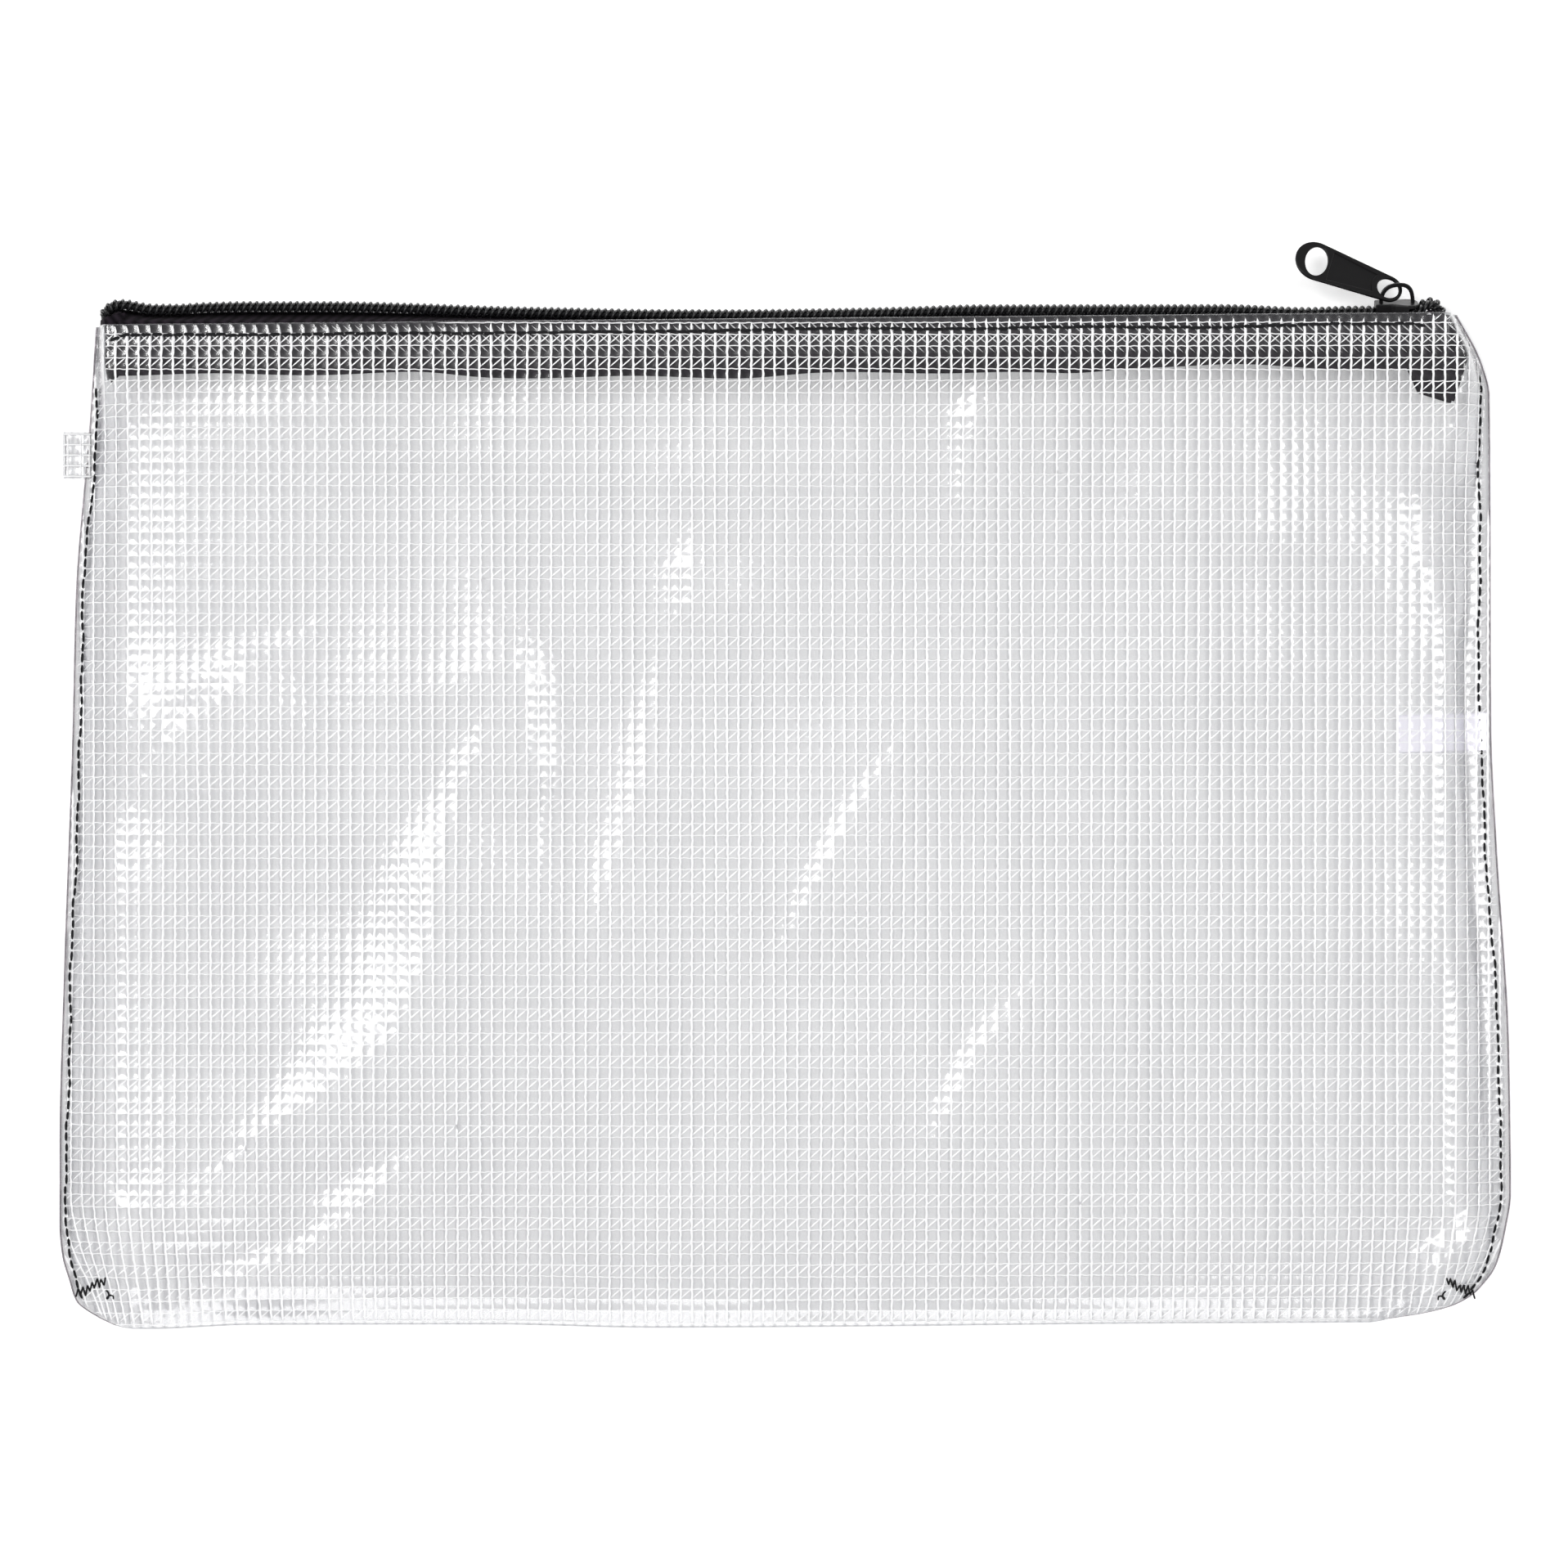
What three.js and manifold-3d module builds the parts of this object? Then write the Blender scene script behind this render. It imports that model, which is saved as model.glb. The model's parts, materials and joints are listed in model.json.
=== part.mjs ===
// Mesh zipper bag, lying on its back with its mouth towards +Y.
// Millimetres. X runs along the zipper, Z is up, and the origin is under the middle of the part.
// The skilled feature is the coil chain: two real helices that interlock, parted by the slider.

import * as THREE from 'three';
import { mergeVertices } from 'three/addons/utils/BufferGeometryUtils.js';
import Module from 'manifold-3d';

const wasm = await Module();
wasm.setup();

// Driving dimensions of the folded sheet
const BAG_WIDTH = 341.4;
const BAG_DEPTH = 236;
const SHEET = 0.4;
const HEM = 0.8;
const HEM_DEPTH = 8.4;
const MOUTH_SLANT = 3.1;
const FOLD_HEIGHT = 1.7;
const SEAM_GAP = 0.2;

// Driving dimensions of the chain: a number 5 coil
const CHAIN_RISE = 1.8;
const CHAIN_ROLL = 12;
const COIL_PITCH = 1.57;
const COIL_WIDTH = 3.1;
const COIL_DEPTH = 2.46;
const COIL_OVERLAP = 0.3;
const WIRE = 0.5;
const WIRE_CREST = 0.28;
const WIRE_BED = 0.2;
const CORD_WIDTH = 1.5;
const CORD_DEPTH = 0.97;
const CHAIN_INSET_LEFT = 8.2;
const CHAIN_INSET_RIGHT = 7.7;
const END_RADIUS_LEFT = 4.2;
const END_RADIUS_RIGHT = 4;
const END_TURN_LEFT = 90;
const END_TURN_RIGHT = 118;

// Driving dimensions of the tapes
const TAPE = 0.4;
const TAPE_REACH = 12.5;
const TAPE_EDGE = 1.05;
const TAPE_BEND = 0.6;
const BEND_CLEAR = 0.1;
const TAIL_LENGTH = 12;
const TAIL_WIDTH = 3.3;

// Driving dimensions of the slider
const SLIDER_LENGTH = 10.2;
const SLIDER_FROM_END = 6.8;
const SLIDER_PLATE = 0.8;
const SLIDER_FLANGE = 0.75;
const SLIDER_LIP = 0.3;
const SHOULDER = 2.4;
const NOSE_HALF = 1.7;
const TAIL_CHAMFER = 0.5;
const PLATE_BEVEL = 0.3;
const PARTING = 1.4;
const PARTING_FROM = -1.5;
const PARTING_TO = 3;
const CLOSING_RUN = 4;
const CLOSING_SHARE = 0.5;
const ARCH_HEIGHT = 4.6;
const ARCH_BAR = 0.9;
const ARCH_WIDTH = 1.0;
const ARCH_SPAN = 8.4;
const ARCH_LEAN = 0.8;
const ARCH_SHOULDER = 1.4;
const ARCH_NOSE = 0.9;
const ARCH_TAIL = 1.6;
const ARCH_BEVEL = 0.2;

// Driving dimensions of the pull tab
const TAB_CENTRES = 18.0;
const TAB_WIDE = 9.1;
const TAB_NARROW = 6.9;
const TAB_THICK = 0.9;
const TAB_RIM = 0.85;
const TAB_RECESS = 0.18;
const TAB_BEVEL = 0.18;
const EYE_LENGTH = 5.6;
const EYE_WIDTH = 7.4;
const RING_HOLE = 5.3;
const TAB_LIFT = 21;
const TAB_TWIST = 43;
const TAB_RIDE = 0.26;
const TAB_FORWARD = 0.7;

// Driving dimensions of the small sewn pieces
const LOOP_LENGTH = 11;
const LOOP_REACH = 5.4;
const LOOP_STRIP = 0.4;
const LOOP_OPENING = 1.7;
const LOOP_ROOT = 1;
const LOOP_LIFT = 0.1;
const LOOP_PLACE = 0.866;
const NOTCH = 1.6;
const LABEL_LENGTH = 17;
const LABEL_WIDTH = 8.8;
const LABEL_THICK = 0.3;
const LABEL_INSET = 2.4;
const LABEL_PLACE = 0.59;
const THREAD = 0.5;
const STITCH_INSET = 2.8;
const STITCH_END = 2;
const BACK_STITCH_END = 4;
const SEAM_SHARE = 0.55;
const TACK_LENGTH = 7;
const TACK_ZIGZAG = 0.95;
const TACK_SLANT = 3.3;
const TACK_INSET = 0.9;
const TACK_PLACE = 0.045;

// Clearance between pieces that lie against each other
const GAP = 0.3;

const RADIANS = Math.PI / 180;

// How far each side is drawn in from the full width, from the fold (0) to the mouth (1)
const LEFT_DRAW_IN = [[0, 15], [0.012, 9], [0.03, 3.9], [0.05, 2.4], [0.1, 0.2], [0.18, 0],
  [0.35, 1], [0.59, 3.3], [0.73, 4.2], [0.9, 7.2], [1, 8.6]];
const RIGHT_DRAW_IN = [[0, 31], [0.012, 21], [0.03, 11.5], [0.05, 6], [0.1, 1.8], [0.13, 0.4],
  [0.27, 0.8], [0.48, 3.8], [0.59, 5], [0.92, 5.4], [0.95, 7.1], [1, 13.2]];

// Height of the front panel, width of the swell beside each seam, and of the flat strip outside it
const CROWN = [[0, 0], [0.012, 0.13], [0.03, 0.25], [0.06, 0.37], [0.13, 0.53], [0.27, 0.65],
  [0.5, 0.71], [0.8, 0.82], [0.93, 0.97], [0.96, 1], [1, 1]];
const SWELL = [[0, 8], [0.03, 12], [0.1, 22], [0.3, 30], [0.6, 30], [0.85, 16], [0.93, 5], [0.96, 2.5], [1, 2.3]];
const EDGE_STRIP = [[0, 0.6], [0.05, 2], [0.85, 2.3], [0.93, 1.6], [1, 0.8]];

function between(table, at) {
  const last = table.length - 1;
  let k = 0;
  while (k < last - 1 && at > table[k + 1][0]) k += 1;
  const share = (at - table[k][0]) / (table[k + 1][0] - table[k][0]);
  return table[k][1] + (table[k + 1][1] - table[k][1]) * Math.min(1, Math.max(0, share));
}

function smooth(from, to, at) {
  const share = Math.min(1, Math.max(0, (at - from) / (to - from)));
  return share * share * (3 - 2 * share);
}

// A closed body from points and triangles, turned so that its faces point out
function closedBody(points, triangles) {
  let volume = 0;
  for (const [a, b, c] of triangles) {
    volume += points[a].dot(new THREE.Vector3().crossVectors(points[b], points[c]));
  }
  const index = triangles.flatMap(([a, b, c]) => (volume > 0 ? [a, b, c] : [a, c, b]));
  const geometry = new THREE.BufferGeometry();
  const flat = points.flatMap((p) => [p.x, p.y, p.z]);
  geometry.setAttribute('position', new THREE.Float32BufferAttribute(flat, 3));
  geometry.setIndex(index);
  return geometry;
}

// Triangles of the band between two loops of the same count
function band(first, second, count) {
  const triangles = [];
  for (let k = 0; k < count; k += 1) {
    const next = (k + 1) % count;
    triangles.push([first + k, first + next, second + next]);
    triangles.push([first + k, second + next, second + k]);
  }
  return triangles;
}

// A body through a row of loops, closed at both ends by the loop's flat outline
function loft(loops, outline) {
  const count = outline.length;
  const triangles = [];
  for (let r = 0; r + 1 < loops.length; r += 1) {
    triangles.push(...band(r * count, (r + 1) * count, count));
  }
  const end = (loops.length - 1) * count;
  const sign = THREE.ShapeUtils.isClockWise(outline) ? -1 : 1;
  for (const [a, b, c] of THREE.ShapeUtils.triangulateShape(outline, [])) {
    triangles.push(sign > 0 ? [a, c, b] : [a, b, c]);
    triangles.push(sign > 0 ? [end + a, end + b, end + c] : [end + a, end + c, end + b]);
  }
  return closedBody(loops.flat(), triangles);
}

function toSolid(geometry) {
  const bare = geometry.clone();
  bare.deleteAttribute('normal');
  bare.deleteAttribute('uv');
  const merged = mergeVertices(bare, 1e-4);
  return new wasm.Manifold(new wasm.Mesh({
    numProp: 3,
    vertProperties: new Float32Array(merged.attributes.position.array),
    triVerts: new Uint32Array(merged.index.array),
  }));
}

function fromSolid(solid) {
  const mesh = solid.getMesh();
  const geometry = new THREE.BufferGeometry();
  geometry.setAttribute('position', new THREE.Float32BufferAttribute(mesh.vertProperties, 3));
  geometry.setIndex(Array.from(mesh.triVerts));
  return geometry;
}

function finish(color, roughness, metalness) {
  return new THREE.MeshStandardMaterial({ color, roughness, metalness });
}

const MESH_VINYL = finish(0xe6e9ec, 0.3, 0);
const BLACK_NYLON = finish(0x17171a, 0.45, 0);
const BLACK_WOVEN = finish(0x1b1a1e, 0.85, 0);
const BLACK_THREAD = finish(0x101012, 0.8, 0);
const BLACK_METAL = finish(0x1c1c1e, 0.3, 0.6);
const WHITE_SATIN = finish(0xf4f4f6, 0.5, 0);

const bag = new THREE.Group();

function add(name, geometry, material) {
  const mesh = new THREE.Mesh(geometry, material);
  mesh.name = name;
  bag.add(mesh);
}

// The tapes stand behind the coil, and bend over outside the slider to lie along the hems.
// Their levels set the height of the chain over the back hem, and of the front hem over the chain.
const ROLL = CHAIN_ROLL * RADIANS;
const TAPE_N = -(COIL_DEPTH / 2 + GAP + TAPE / 2);
const SLIDER_WIDEST = COIL_WIDTH - COIL_OVERLAP + PARTING + GAP + SLIDER_FLANGE;
const BEND_START = SLIDER_WIDEST + BEND_CLEAR;
const BEND_RISE = BEND_START * Math.cos(ROLL);
const BACK_DROP = BEND_RISE - TAPE_N * Math.sin(ROLL) + TAPE_BEND * (1 + Math.sin(ROLL));
const FRONT_RISE = BEND_RISE + TAPE_N * Math.sin(ROLL) + TAPE_BEND * (1 - Math.sin(ROLL));
const CHAIN_Z = HEM - SEAM_GAP / 2 + GAP + TAPE / 2 + BACK_DROP;
const MOUTH_HEIGHT = CHAIN_Z + FRONT_RISE + TAPE / 2 + GAP + HEM;

// The sheet: front and back panels are one piece, folded at the bottom and sewn at both sides
const FOLD_Y = -BAG_DEPTH / 2;
const HEM_START = 1 - HEM_DEPTH / BAG_DEPTH;
const leftEdge = (at) => -BAG_WIDTH / 2 + between(LEFT_DRAW_IN, at);
const rightEdge = (at) => BAG_WIDTH / 2 - between(RIGHT_DRAW_IN, at);
const mouthY = (x) => BAG_DEPTH / 2 + MOUTH_SLANT * (x / BAG_WIDTH);
const sheetY = (x, at) => FOLD_Y + at * (mouthY(x) - FOLD_Y);
const wall = (at) => (at > HEM_START ? HEM : SHEET);
const stripHeight = (at) => 2 * wall(at) + SEAM_GAP;
const crown = (at) => FOLD_HEIGHT + (MOUTH_HEIGHT - FOLD_HEIGHT) * between(CROWN, at);

// Height of the front panel's outer face at x, in the row at
function frontZ(x, at) {
  const strip = between(EDGE_STRIP, at);
  const reach = Math.min(x - leftEdge(at), rightEdge(at) - x) - strip;
  const share = 1 - Math.min(1, Math.max(0, reach / between(SWELL, at)));
  return stripHeight(at) + (crown(at) - stripHeight(at)) * Math.sqrt(1 - share * share);
}

// One closed loop across the bag: the front from left to right, then the flat back
function sheetLoop(at, inside) {
  const inset = inside ? wall(at) : 0;
  const strip = between(EDGE_STRIP, at) + inset;
  const swell = between(SWELL, at) - inset;
  const left = leftEdge(at) + strip;
  const right = rightEdge(at) - strip;
  const base = inside ? wall(at) + SEAM_GAP / 2 : stripHeight(at);
  const top = crown(at) - inset;
  const steps = 4;
  const middle = 7;
  const loop = [];
  const put = (x, z) => loop.push(new THREE.Vector3(x, sheetY(x, at), z));
  if (!inside) put(leftEdge(at), base);
  for (let k = 0; k <= steps; k += 1) {
    const turn = (k / steps) * Math.PI / 2;
    put(left + swell * (1 - Math.cos(turn)), base + (top - base) * Math.sin(turn));
  }
  for (let k = 1; k < middle; k += 1) {
    put(THREE.MathUtils.lerp(left + swell, right - swell, k / middle), top);
  }
  for (let k = steps; k >= 0; k -= 1) {
    const turn = (k / steps) * Math.PI / 2;
    put(right - swell * (1 - Math.cos(turn)), base + (top - base) * Math.sin(turn));
  }
  if (!inside) put(rightEdge(at), base);
  const floor = inside ? wall(at) - SEAM_GAP / 2 : 0;
  put(inside ? right : rightEdge(at), floor);
  put(inside ? left : leftEdge(at), floor);
  return loop;
}

// Rows of the sheet from the fold to the mouth, closer together where it curves
const ROWS = [0, 0.006, 0.014, 0.03, 0.05, 0.075, 0.1, 0.13, 0.2, 0.28, 0.38, 0.48, 0.58, 0.68, 0.78,
  0.85, 0.9, 0.93, 0.95];
const HEM_STEP = 0.002;

function bodySheet() {
  const rows = [...ROWS, HEM_START, HEM_START + HEM_STEP, 1];
  const outer = rows.map((at) => sheetLoop(at, false));
  const inner = rows.slice(1).map((at) => sheetLoop(at, true));
  const outerCount = outer[0].length;
  const innerCount = inner[0].length;
  const points = [...outer.flat(), ...inner.flat()];
  const innerStart = outer.length * outerCount;
  const triangles = [];
  const flat = (loop) => loop.map((p) => new THREE.Vector2(p.x, p.z));
  for (let r = 0; r + 1 < outer.length; r += 1) {
    triangles.push(...band(r * outerCount, (r + 1) * outerCount, outerCount));
  }
  for (let r = 0; r + 1 < inner.length; r += 1) {
    const ring = innerStart + r * innerCount;
    triangles.push(...band(ring + innerCount, ring, innerCount));
  }
  for (const [a, b, c] of THREE.ShapeUtils.triangulateShape(flat(outer[0]), [])) {
    triangles.push([a, b, c]);
  }
  for (const [a, b, c] of THREE.ShapeUtils.triangulateShape(flat(inner[0]), [])) {
    triangles.push([innerStart + a, innerStart + c, innerStart + b]);
  }
  const lastOuter = (outer.length - 1) * outerCount;
  const lastInner = innerStart + (inner.length - 1) * innerCount;
  const place = (k) => (k < outerCount ? lastOuter + k : lastInner + k - outerCount);
  const rim = THREE.ShapeUtils.triangulateShape(flat(outer.at(-1)), [flat(inner.at(-1))]);
  for (const [a, b, c] of rim) triangles.push([place(a), place(c), place(b)]);
  return closedBody(points, triangles);
}

// The chain's line: straight along the mouth, then turned down into the bag at both ends
const CHAIN_Y = BAG_DEPTH / 2 + CHAIN_RISE;
const CHAIN_LEFT = leftEdge(1) + CHAIN_INSET_LEFT;
const CHAIN_RIGHT = rightEdge(1) - CHAIN_INSET_RIGHT;
const ARC_LEFT = END_RADIUS_LEFT * END_TURN_LEFT * RADIANS;
const ARC_RIGHT = END_RADIUS_RIGHT * END_TURN_RIGHT * RADIANS;
const ACROSS = new THREE.Vector3(0, -Math.sin(ROLL), Math.cos(ROLL));
const OUTWARD = new THREE.Vector3(0, Math.cos(ROLL), Math.sin(ROLL));
const UP = new THREE.Vector3(0, 0, 1);

// Place and axes of the chain at a distance s along it; s equals x on the straight run
function chainFrame(s) {
  const onLeft = s < CHAIN_LEFT;
  const past = onLeft ? CHAIN_LEFT - s : Math.max(0, s - CHAIN_RIGHT);
  const side = onLeft ? -1 : 1;
  const radius = onLeft ? END_RADIUS_LEFT : END_RADIUS_RIGHT;
  const turned = Math.min(past, onLeft ? ARC_LEFT : ARC_RIGHT);
  const angle = turned / radius;
  const start = onLeft ? CHAIN_LEFT : CHAIN_RIGHT;
  const along = new THREE.Vector3(1, 0, 0).applyAxisAngle(UP, -side * angle);
  const origin = new THREE.Vector3(past > 0 ? start : s, CHAIN_Y, CHAIN_Z);
  origin.x += side * radius * Math.sin(angle);
  origin.y -= radius * (1 - Math.cos(angle));
  origin.addScaledVector(along, side * (past - turned));
  return {
    origin,
    along,
    across: ACROSS.clone().applyAxisAngle(UP, -side * angle),
    outward: OUTWARD.clone().applyAxisAngle(UP, -side * angle),
  };
}

function onChain(s, h, n) {
  const frame = chainFrame(s);
  return frame.origin.addScaledVector(frame.across, h).addScaledVector(frame.outward, n);
}

// The slider parts the two halves of the chain at its nose; they stay a little apart behind it
const SLIDER_X = CHAIN_RIGHT - SLIDER_FROM_END;
const SLIDER_HALF = SLIDER_LENGTH / 2;
function parting(s) {
  const t = s - SLIDER_X;
  const closing = smooth(SLIDER_HALF, SLIDER_HALF + CLOSING_RUN, t);
  return PARTING * smooth(PARTING_FROM, PARTING_TO, t) * (1 - CLOSING_SHARE * closing);
}

// Least distance between points of a helix that lie a turn or more apart
function leastDistance(points, perTurn) {
  let least = Infinity;
  for (let k = 0; k < points.length; k += 1) {
    for (let j = k + perTurn; j < points.length; j += 1) {
      least = Math.min(least, points[k].distanceTo(points[j]));
    }
  }
  return least;
}

// One half of the chain: a flattened helix of nylon wire, with its heads on the centre line.
// The wire has a triangular section, with its crest outwards and its bed on the cord's side.
function coil(side, shift) {
  const head = WIRE_CREST - COIL_OVERLAP;
  const heel = COIL_WIDTH - COIL_OVERLAP - WIRE_CREST;
  const leg = COIL_DEPTH / 2 - WIRE_CREST;
  const corners = [[head, leg, 0, -1, 1], [head, -leg, 0, -1, -1], [heel, -leg, 0.25, 1, -1], [heel, leg, 0.75, 1, 1]];
  const start = CHAIN_LEFT - ARC_LEFT;
  const turns = Math.floor((CHAIN_RIGHT + ARC_RIGHT - start) / COIL_PITCH);
  const loops = [];
  const centres = [];
  for (let turn = 0; turn < turns; turn += 1) {
    for (const [h, n, advance, outH, outN] of corners) {
      const s = start + (turn + advance + shift) * COIL_PITCH;
      const apart = h + parting(s);
      centres.push(onChain(s, side * apart, n));
      loops.push([
        onChain(s, side * (apart + outH * WIRE_CREST), n + outN * WIRE_CREST),
        onChain(s - WIRE / 2, side * (apart - outH * WIRE_BED), n - outN * WIRE_BED),
        onChain(s + WIRE / 2, side * (apart - outH * WIRE_BED), n - outN * WIRE_BED),
      ]);
    }
  }
  const clear = leastDistance(centres, corners.length) - WIRE;
  console.log(`coil: ${turns} turns, least gap between turns ${clear.toFixed(2)} mm`);
  return loft(loops, [new THREE.Vector2(0, 0), new THREE.Vector2(1, 0), new THREE.Vector2(0, 1)]);
}

// Stations along the chain for pieces swept with it: close together where it turns or parts
function stations(from, to) {
  const parts = 5;
  const list = [from, to, CHAIN_LEFT, CHAIN_RIGHT];
  for (let k = 0; k <= parts; k += 1) {
    list.push(CHAIN_LEFT - (ARC_LEFT * k) / parts);
    list.push(CHAIN_RIGHT + (ARC_RIGHT * k) / parts);
    list.push(SLIDER_X + THREE.MathUtils.lerp(PARTING_FROM, PARTING_TO, k / parts));
  }
  list.push(SLIDER_X + SLIDER_HALF);
  list.push(SLIDER_X + SLIDER_HALF + CLOSING_RUN / 2);
  const kept = list.filter((s) => s >= from && s <= to).sort((a, b) => a - b);
  return kept.filter((s, k) => k === 0 || s - kept[k - 1] > 0.01);
}

// Filler cord inside each helix
function coilCord(side) {
  const middle = COIL_WIDTH / 2 - COIL_OVERLAP;
  const halfWidth = CORD_WIDTH / 2;
  const halfDepth = CORD_DEPTH / 2;
  const ring = [];
  for (let k = 0; k < 6; k += 1) {
    const turn = (k * Math.PI) / 3;
    ring.push(new THREE.Vector2(Math.cos(turn) * halfWidth, Math.sin(turn) * halfDepth));
  }
  const run = stations(CHAIN_LEFT - ARC_LEFT, CHAIN_RIGHT + ARC_RIGHT);
  const loops = run.map((s) => ring.map((p) => onChain(s, side * (middle + parting(s) + p.x), p.y)));
  return loft(loops, ring);
}

// Middle line of one tape's section, from the bend to the inner edge: y, z and heading
function tapeLine(side) {
  const steps = 4;
  const corner = onChain(0, side * BEND_START, TAPE_N);
  const first = Math.atan2(side * ACROSS.z, side * ACROSS.y);
  const last = side * Math.PI;
  const line = [];
  for (let k = 0; k <= steps; k += 1) {
    const heading = THREE.MathUtils.lerp(first, last, k / steps);
    const y = corner.y + side * TAPE_BEND * (Math.sin(heading) - Math.sin(first));
    const z = corner.z - side * TAPE_BEND * (Math.cos(heading) - Math.cos(first));
    line.push([y, z, heading]);
  }
  const [y, z] = line.at(-1);
  line.push([y - TAPE_REACH, z, last]);
  return line;
}

// Half of the zipper tape: flat behind the coil, bent over outside the slider, flat along the hem
function tape(side) {
  const half = TAPE / 2;
  const line = tapeLine(side);
  const face = (s, away) => line.map(([y, z, heading]) => {
    const aside = side * away * half;
    return new THREE.Vector3(s, y + Math.sin(heading) * aside, z - Math.cos(heading) * aside);
  });
  const section = (s) => {
    const edge = side * (TAPE_EDGE + parting(s));
    const near = onChain(s, edge, TAPE_N + half);
    const far = onChain(s, edge, TAPE_N - half);
    return [near, ...face(s, 1), ...face(s, -1).reverse(), far];
  };
  const loops = stations(CHAIN_LEFT, CHAIN_RIGHT).map(section);
  const strip = loft(loops, loops[0].map((p) => new THREE.Vector2(p.y, p.z)));
  return fromSolid(toSolid(strip).add(tail(side, -1)).add(tail(side, 1)));
}

// The tape's end: it turns with the coil and hangs down inside the bag
function tail(side, end) {
  const half = TAPE / 2;
  const joint = 0.5;
  const from = end < 0 ? CHAIN_LEFT - ARC_LEFT - TAIL_LENGTH : CHAIN_RIGHT - joint;
  const to = end < 0 ? CHAIN_LEFT + joint : CHAIN_RIGHT + ARC_RIGHT + TAIL_LENGTH;
  const loops = stations(from, to).map((s) => {
    const inner = side * (TAPE_EDGE + parting(s));
    const outer = side * (TAPE_EDGE + TAIL_WIDTH);
    return [
      onChain(s, inner, TAPE_N - half),
      onChain(s, outer, TAPE_N - half),
      onChain(s, outer, TAPE_N + half),
      onChain(s, inner, TAPE_N + half),
    ];
  });
  const square = [[0, 0], [1, 0], [1, 1], [0, 1]].map(([a, b]) => new THREE.Vector2(a, b));
  return toSolid(loft(loops, square));
}

// Moves a piece drawn flat, with its outline in X and Y and its depth along Z, onto the chain at the slider
const SLIDER_AXES = new THREE.Matrix4().makeBasis(new THREE.Vector3(1, 0, 0), ACROSS.clone().negate(), OUTWARD);
const SLIDER_PLACE = new THREE.Matrix4().makeTranslation(SLIDER_X, CHAIN_Y, CHAIN_Z).multiply(SLIDER_AXES);

function extrude(shape, from, to, bevel) {
  const inset = bevel || 0;
  const geometry = new THREE.ExtrudeGeometry(shape, {
    depth: to - from - 2 * inset,
    bevelEnabled: inset > 0,
    bevelThickness: inset,
    bevelSize: inset,
    bevelOffset: -inset,
    bevelSegments: 2,
    curveSegments: 8,
  });
  return geometry.translate(0, 0, from + inset);
}

const channelHalf = (t) => COIL_WIDTH - COIL_OVERLAP + parting(SLIDER_X + t) + GAP;
const CHANNEL_STEPS = [-SLIDER_HALF, -1.5, -0.6, 0.3, 1.2, 1.9, SHOULDER];
const PLATE_TOP = COIL_DEPTH / 2 + GAP * 0.7;
const PLATE_BOTTOM = TAPE_N - TAPE / 2 - GAP - SLIDER_LIP;

function mirrored(points) {
  const other = points.map(([x, y]) => [x, -y]).reverse();
  const around = [...points, ...other].reverse();
  return new THREE.Shape(around.map(([x, y]) => new THREE.Vector2(x, y)));
}

// Outline of the two plates: narrow tail, wide shoulders and a rounded nose
function plateOutline() {
  const edge = CHANNEL_STEPS.map((t) => [t, channelHalf(t) + SLIDER_FLANGE]);
  const widest = edge.at(-1)[1];
  const steps = 5;
  for (let k = 1; k <= steps; k += 1) {
    const turn = (k / steps) * Math.PI / 2;
    const x = SHOULDER + (SLIDER_HALF - SHOULDER) * Math.sin(turn);
    edge.push([x, NOSE_HALF + (widest - NOSE_HALF) * Math.cos(turn)]);
  }
  const [tailX, tailHalf] = edge[0];
  edge.splice(0, 1, [tailX, tailHalf - TAIL_CHAMFER], [tailX + TAIL_CHAMFER, tailHalf]);
  return mirrored(edge);
}

// The post between the plates that parts the chain: half its width, from its point to the nose
function diamond() {
  const wide = PARTING - COIL_OVERLAP - GAP;
  return [[0.5, 0.02], [1.2, wide * 0.35], [2.1, wide * 0.8], [3, wide], [SLIDER_HALF - 0.4, wide]];
}

function withDiamond(points) {
  const shape = mirrored(points);
  const post = diamond();
  const other = post.map(([x, y]) => [x, -y]).reverse();
  shape.holes.push(new THREE.Path([...post, ...other].map(([x, y]) => new THREE.Vector2(x, y))));
  return shape;
}

// Side outline of the arch, drawn in by an inset; its crest leans towards the nose
function bowOutline(inset, foot) {
  const half = ARCH_SPAN / 2 - inset;
  const share = half / (ARCH_SPAN / 2);
  const crest = PLATE_TOP + SLIDER_PLATE + ARCH_HEIGHT - inset;
  const low = crest - ARCH_SHOULDER * share;
  const shape = new THREE.Shape();
  shape.moveTo(half, foot);
  shape.bezierCurveTo(half, low, half - ARCH_NOSE * share, crest, ARCH_LEAN, crest);
  shape.bezierCurveTo(-half + ARCH_TAIL * share, crest, -half, low, -half, foot);
  return shape;
}

// The raised arch that holds the pull tab, with its opening cut through
function arch() {
  const foot = PLATE_TOP + SLIDER_PLATE / 2;
  const upright = (shape, half, bevel) => toSolid(extrude(shape, -half, half, bevel).rotateX(Math.PI / 2));
  const bow = upright(bowOutline(0, foot), ARCH_WIDTH / 2, ARCH_BEVEL);
  return bow.subtract(upright(bowOutline(ARCH_BAR, foot - ARCH_BEVEL), ARCH_WIDTH, 0));
}

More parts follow.
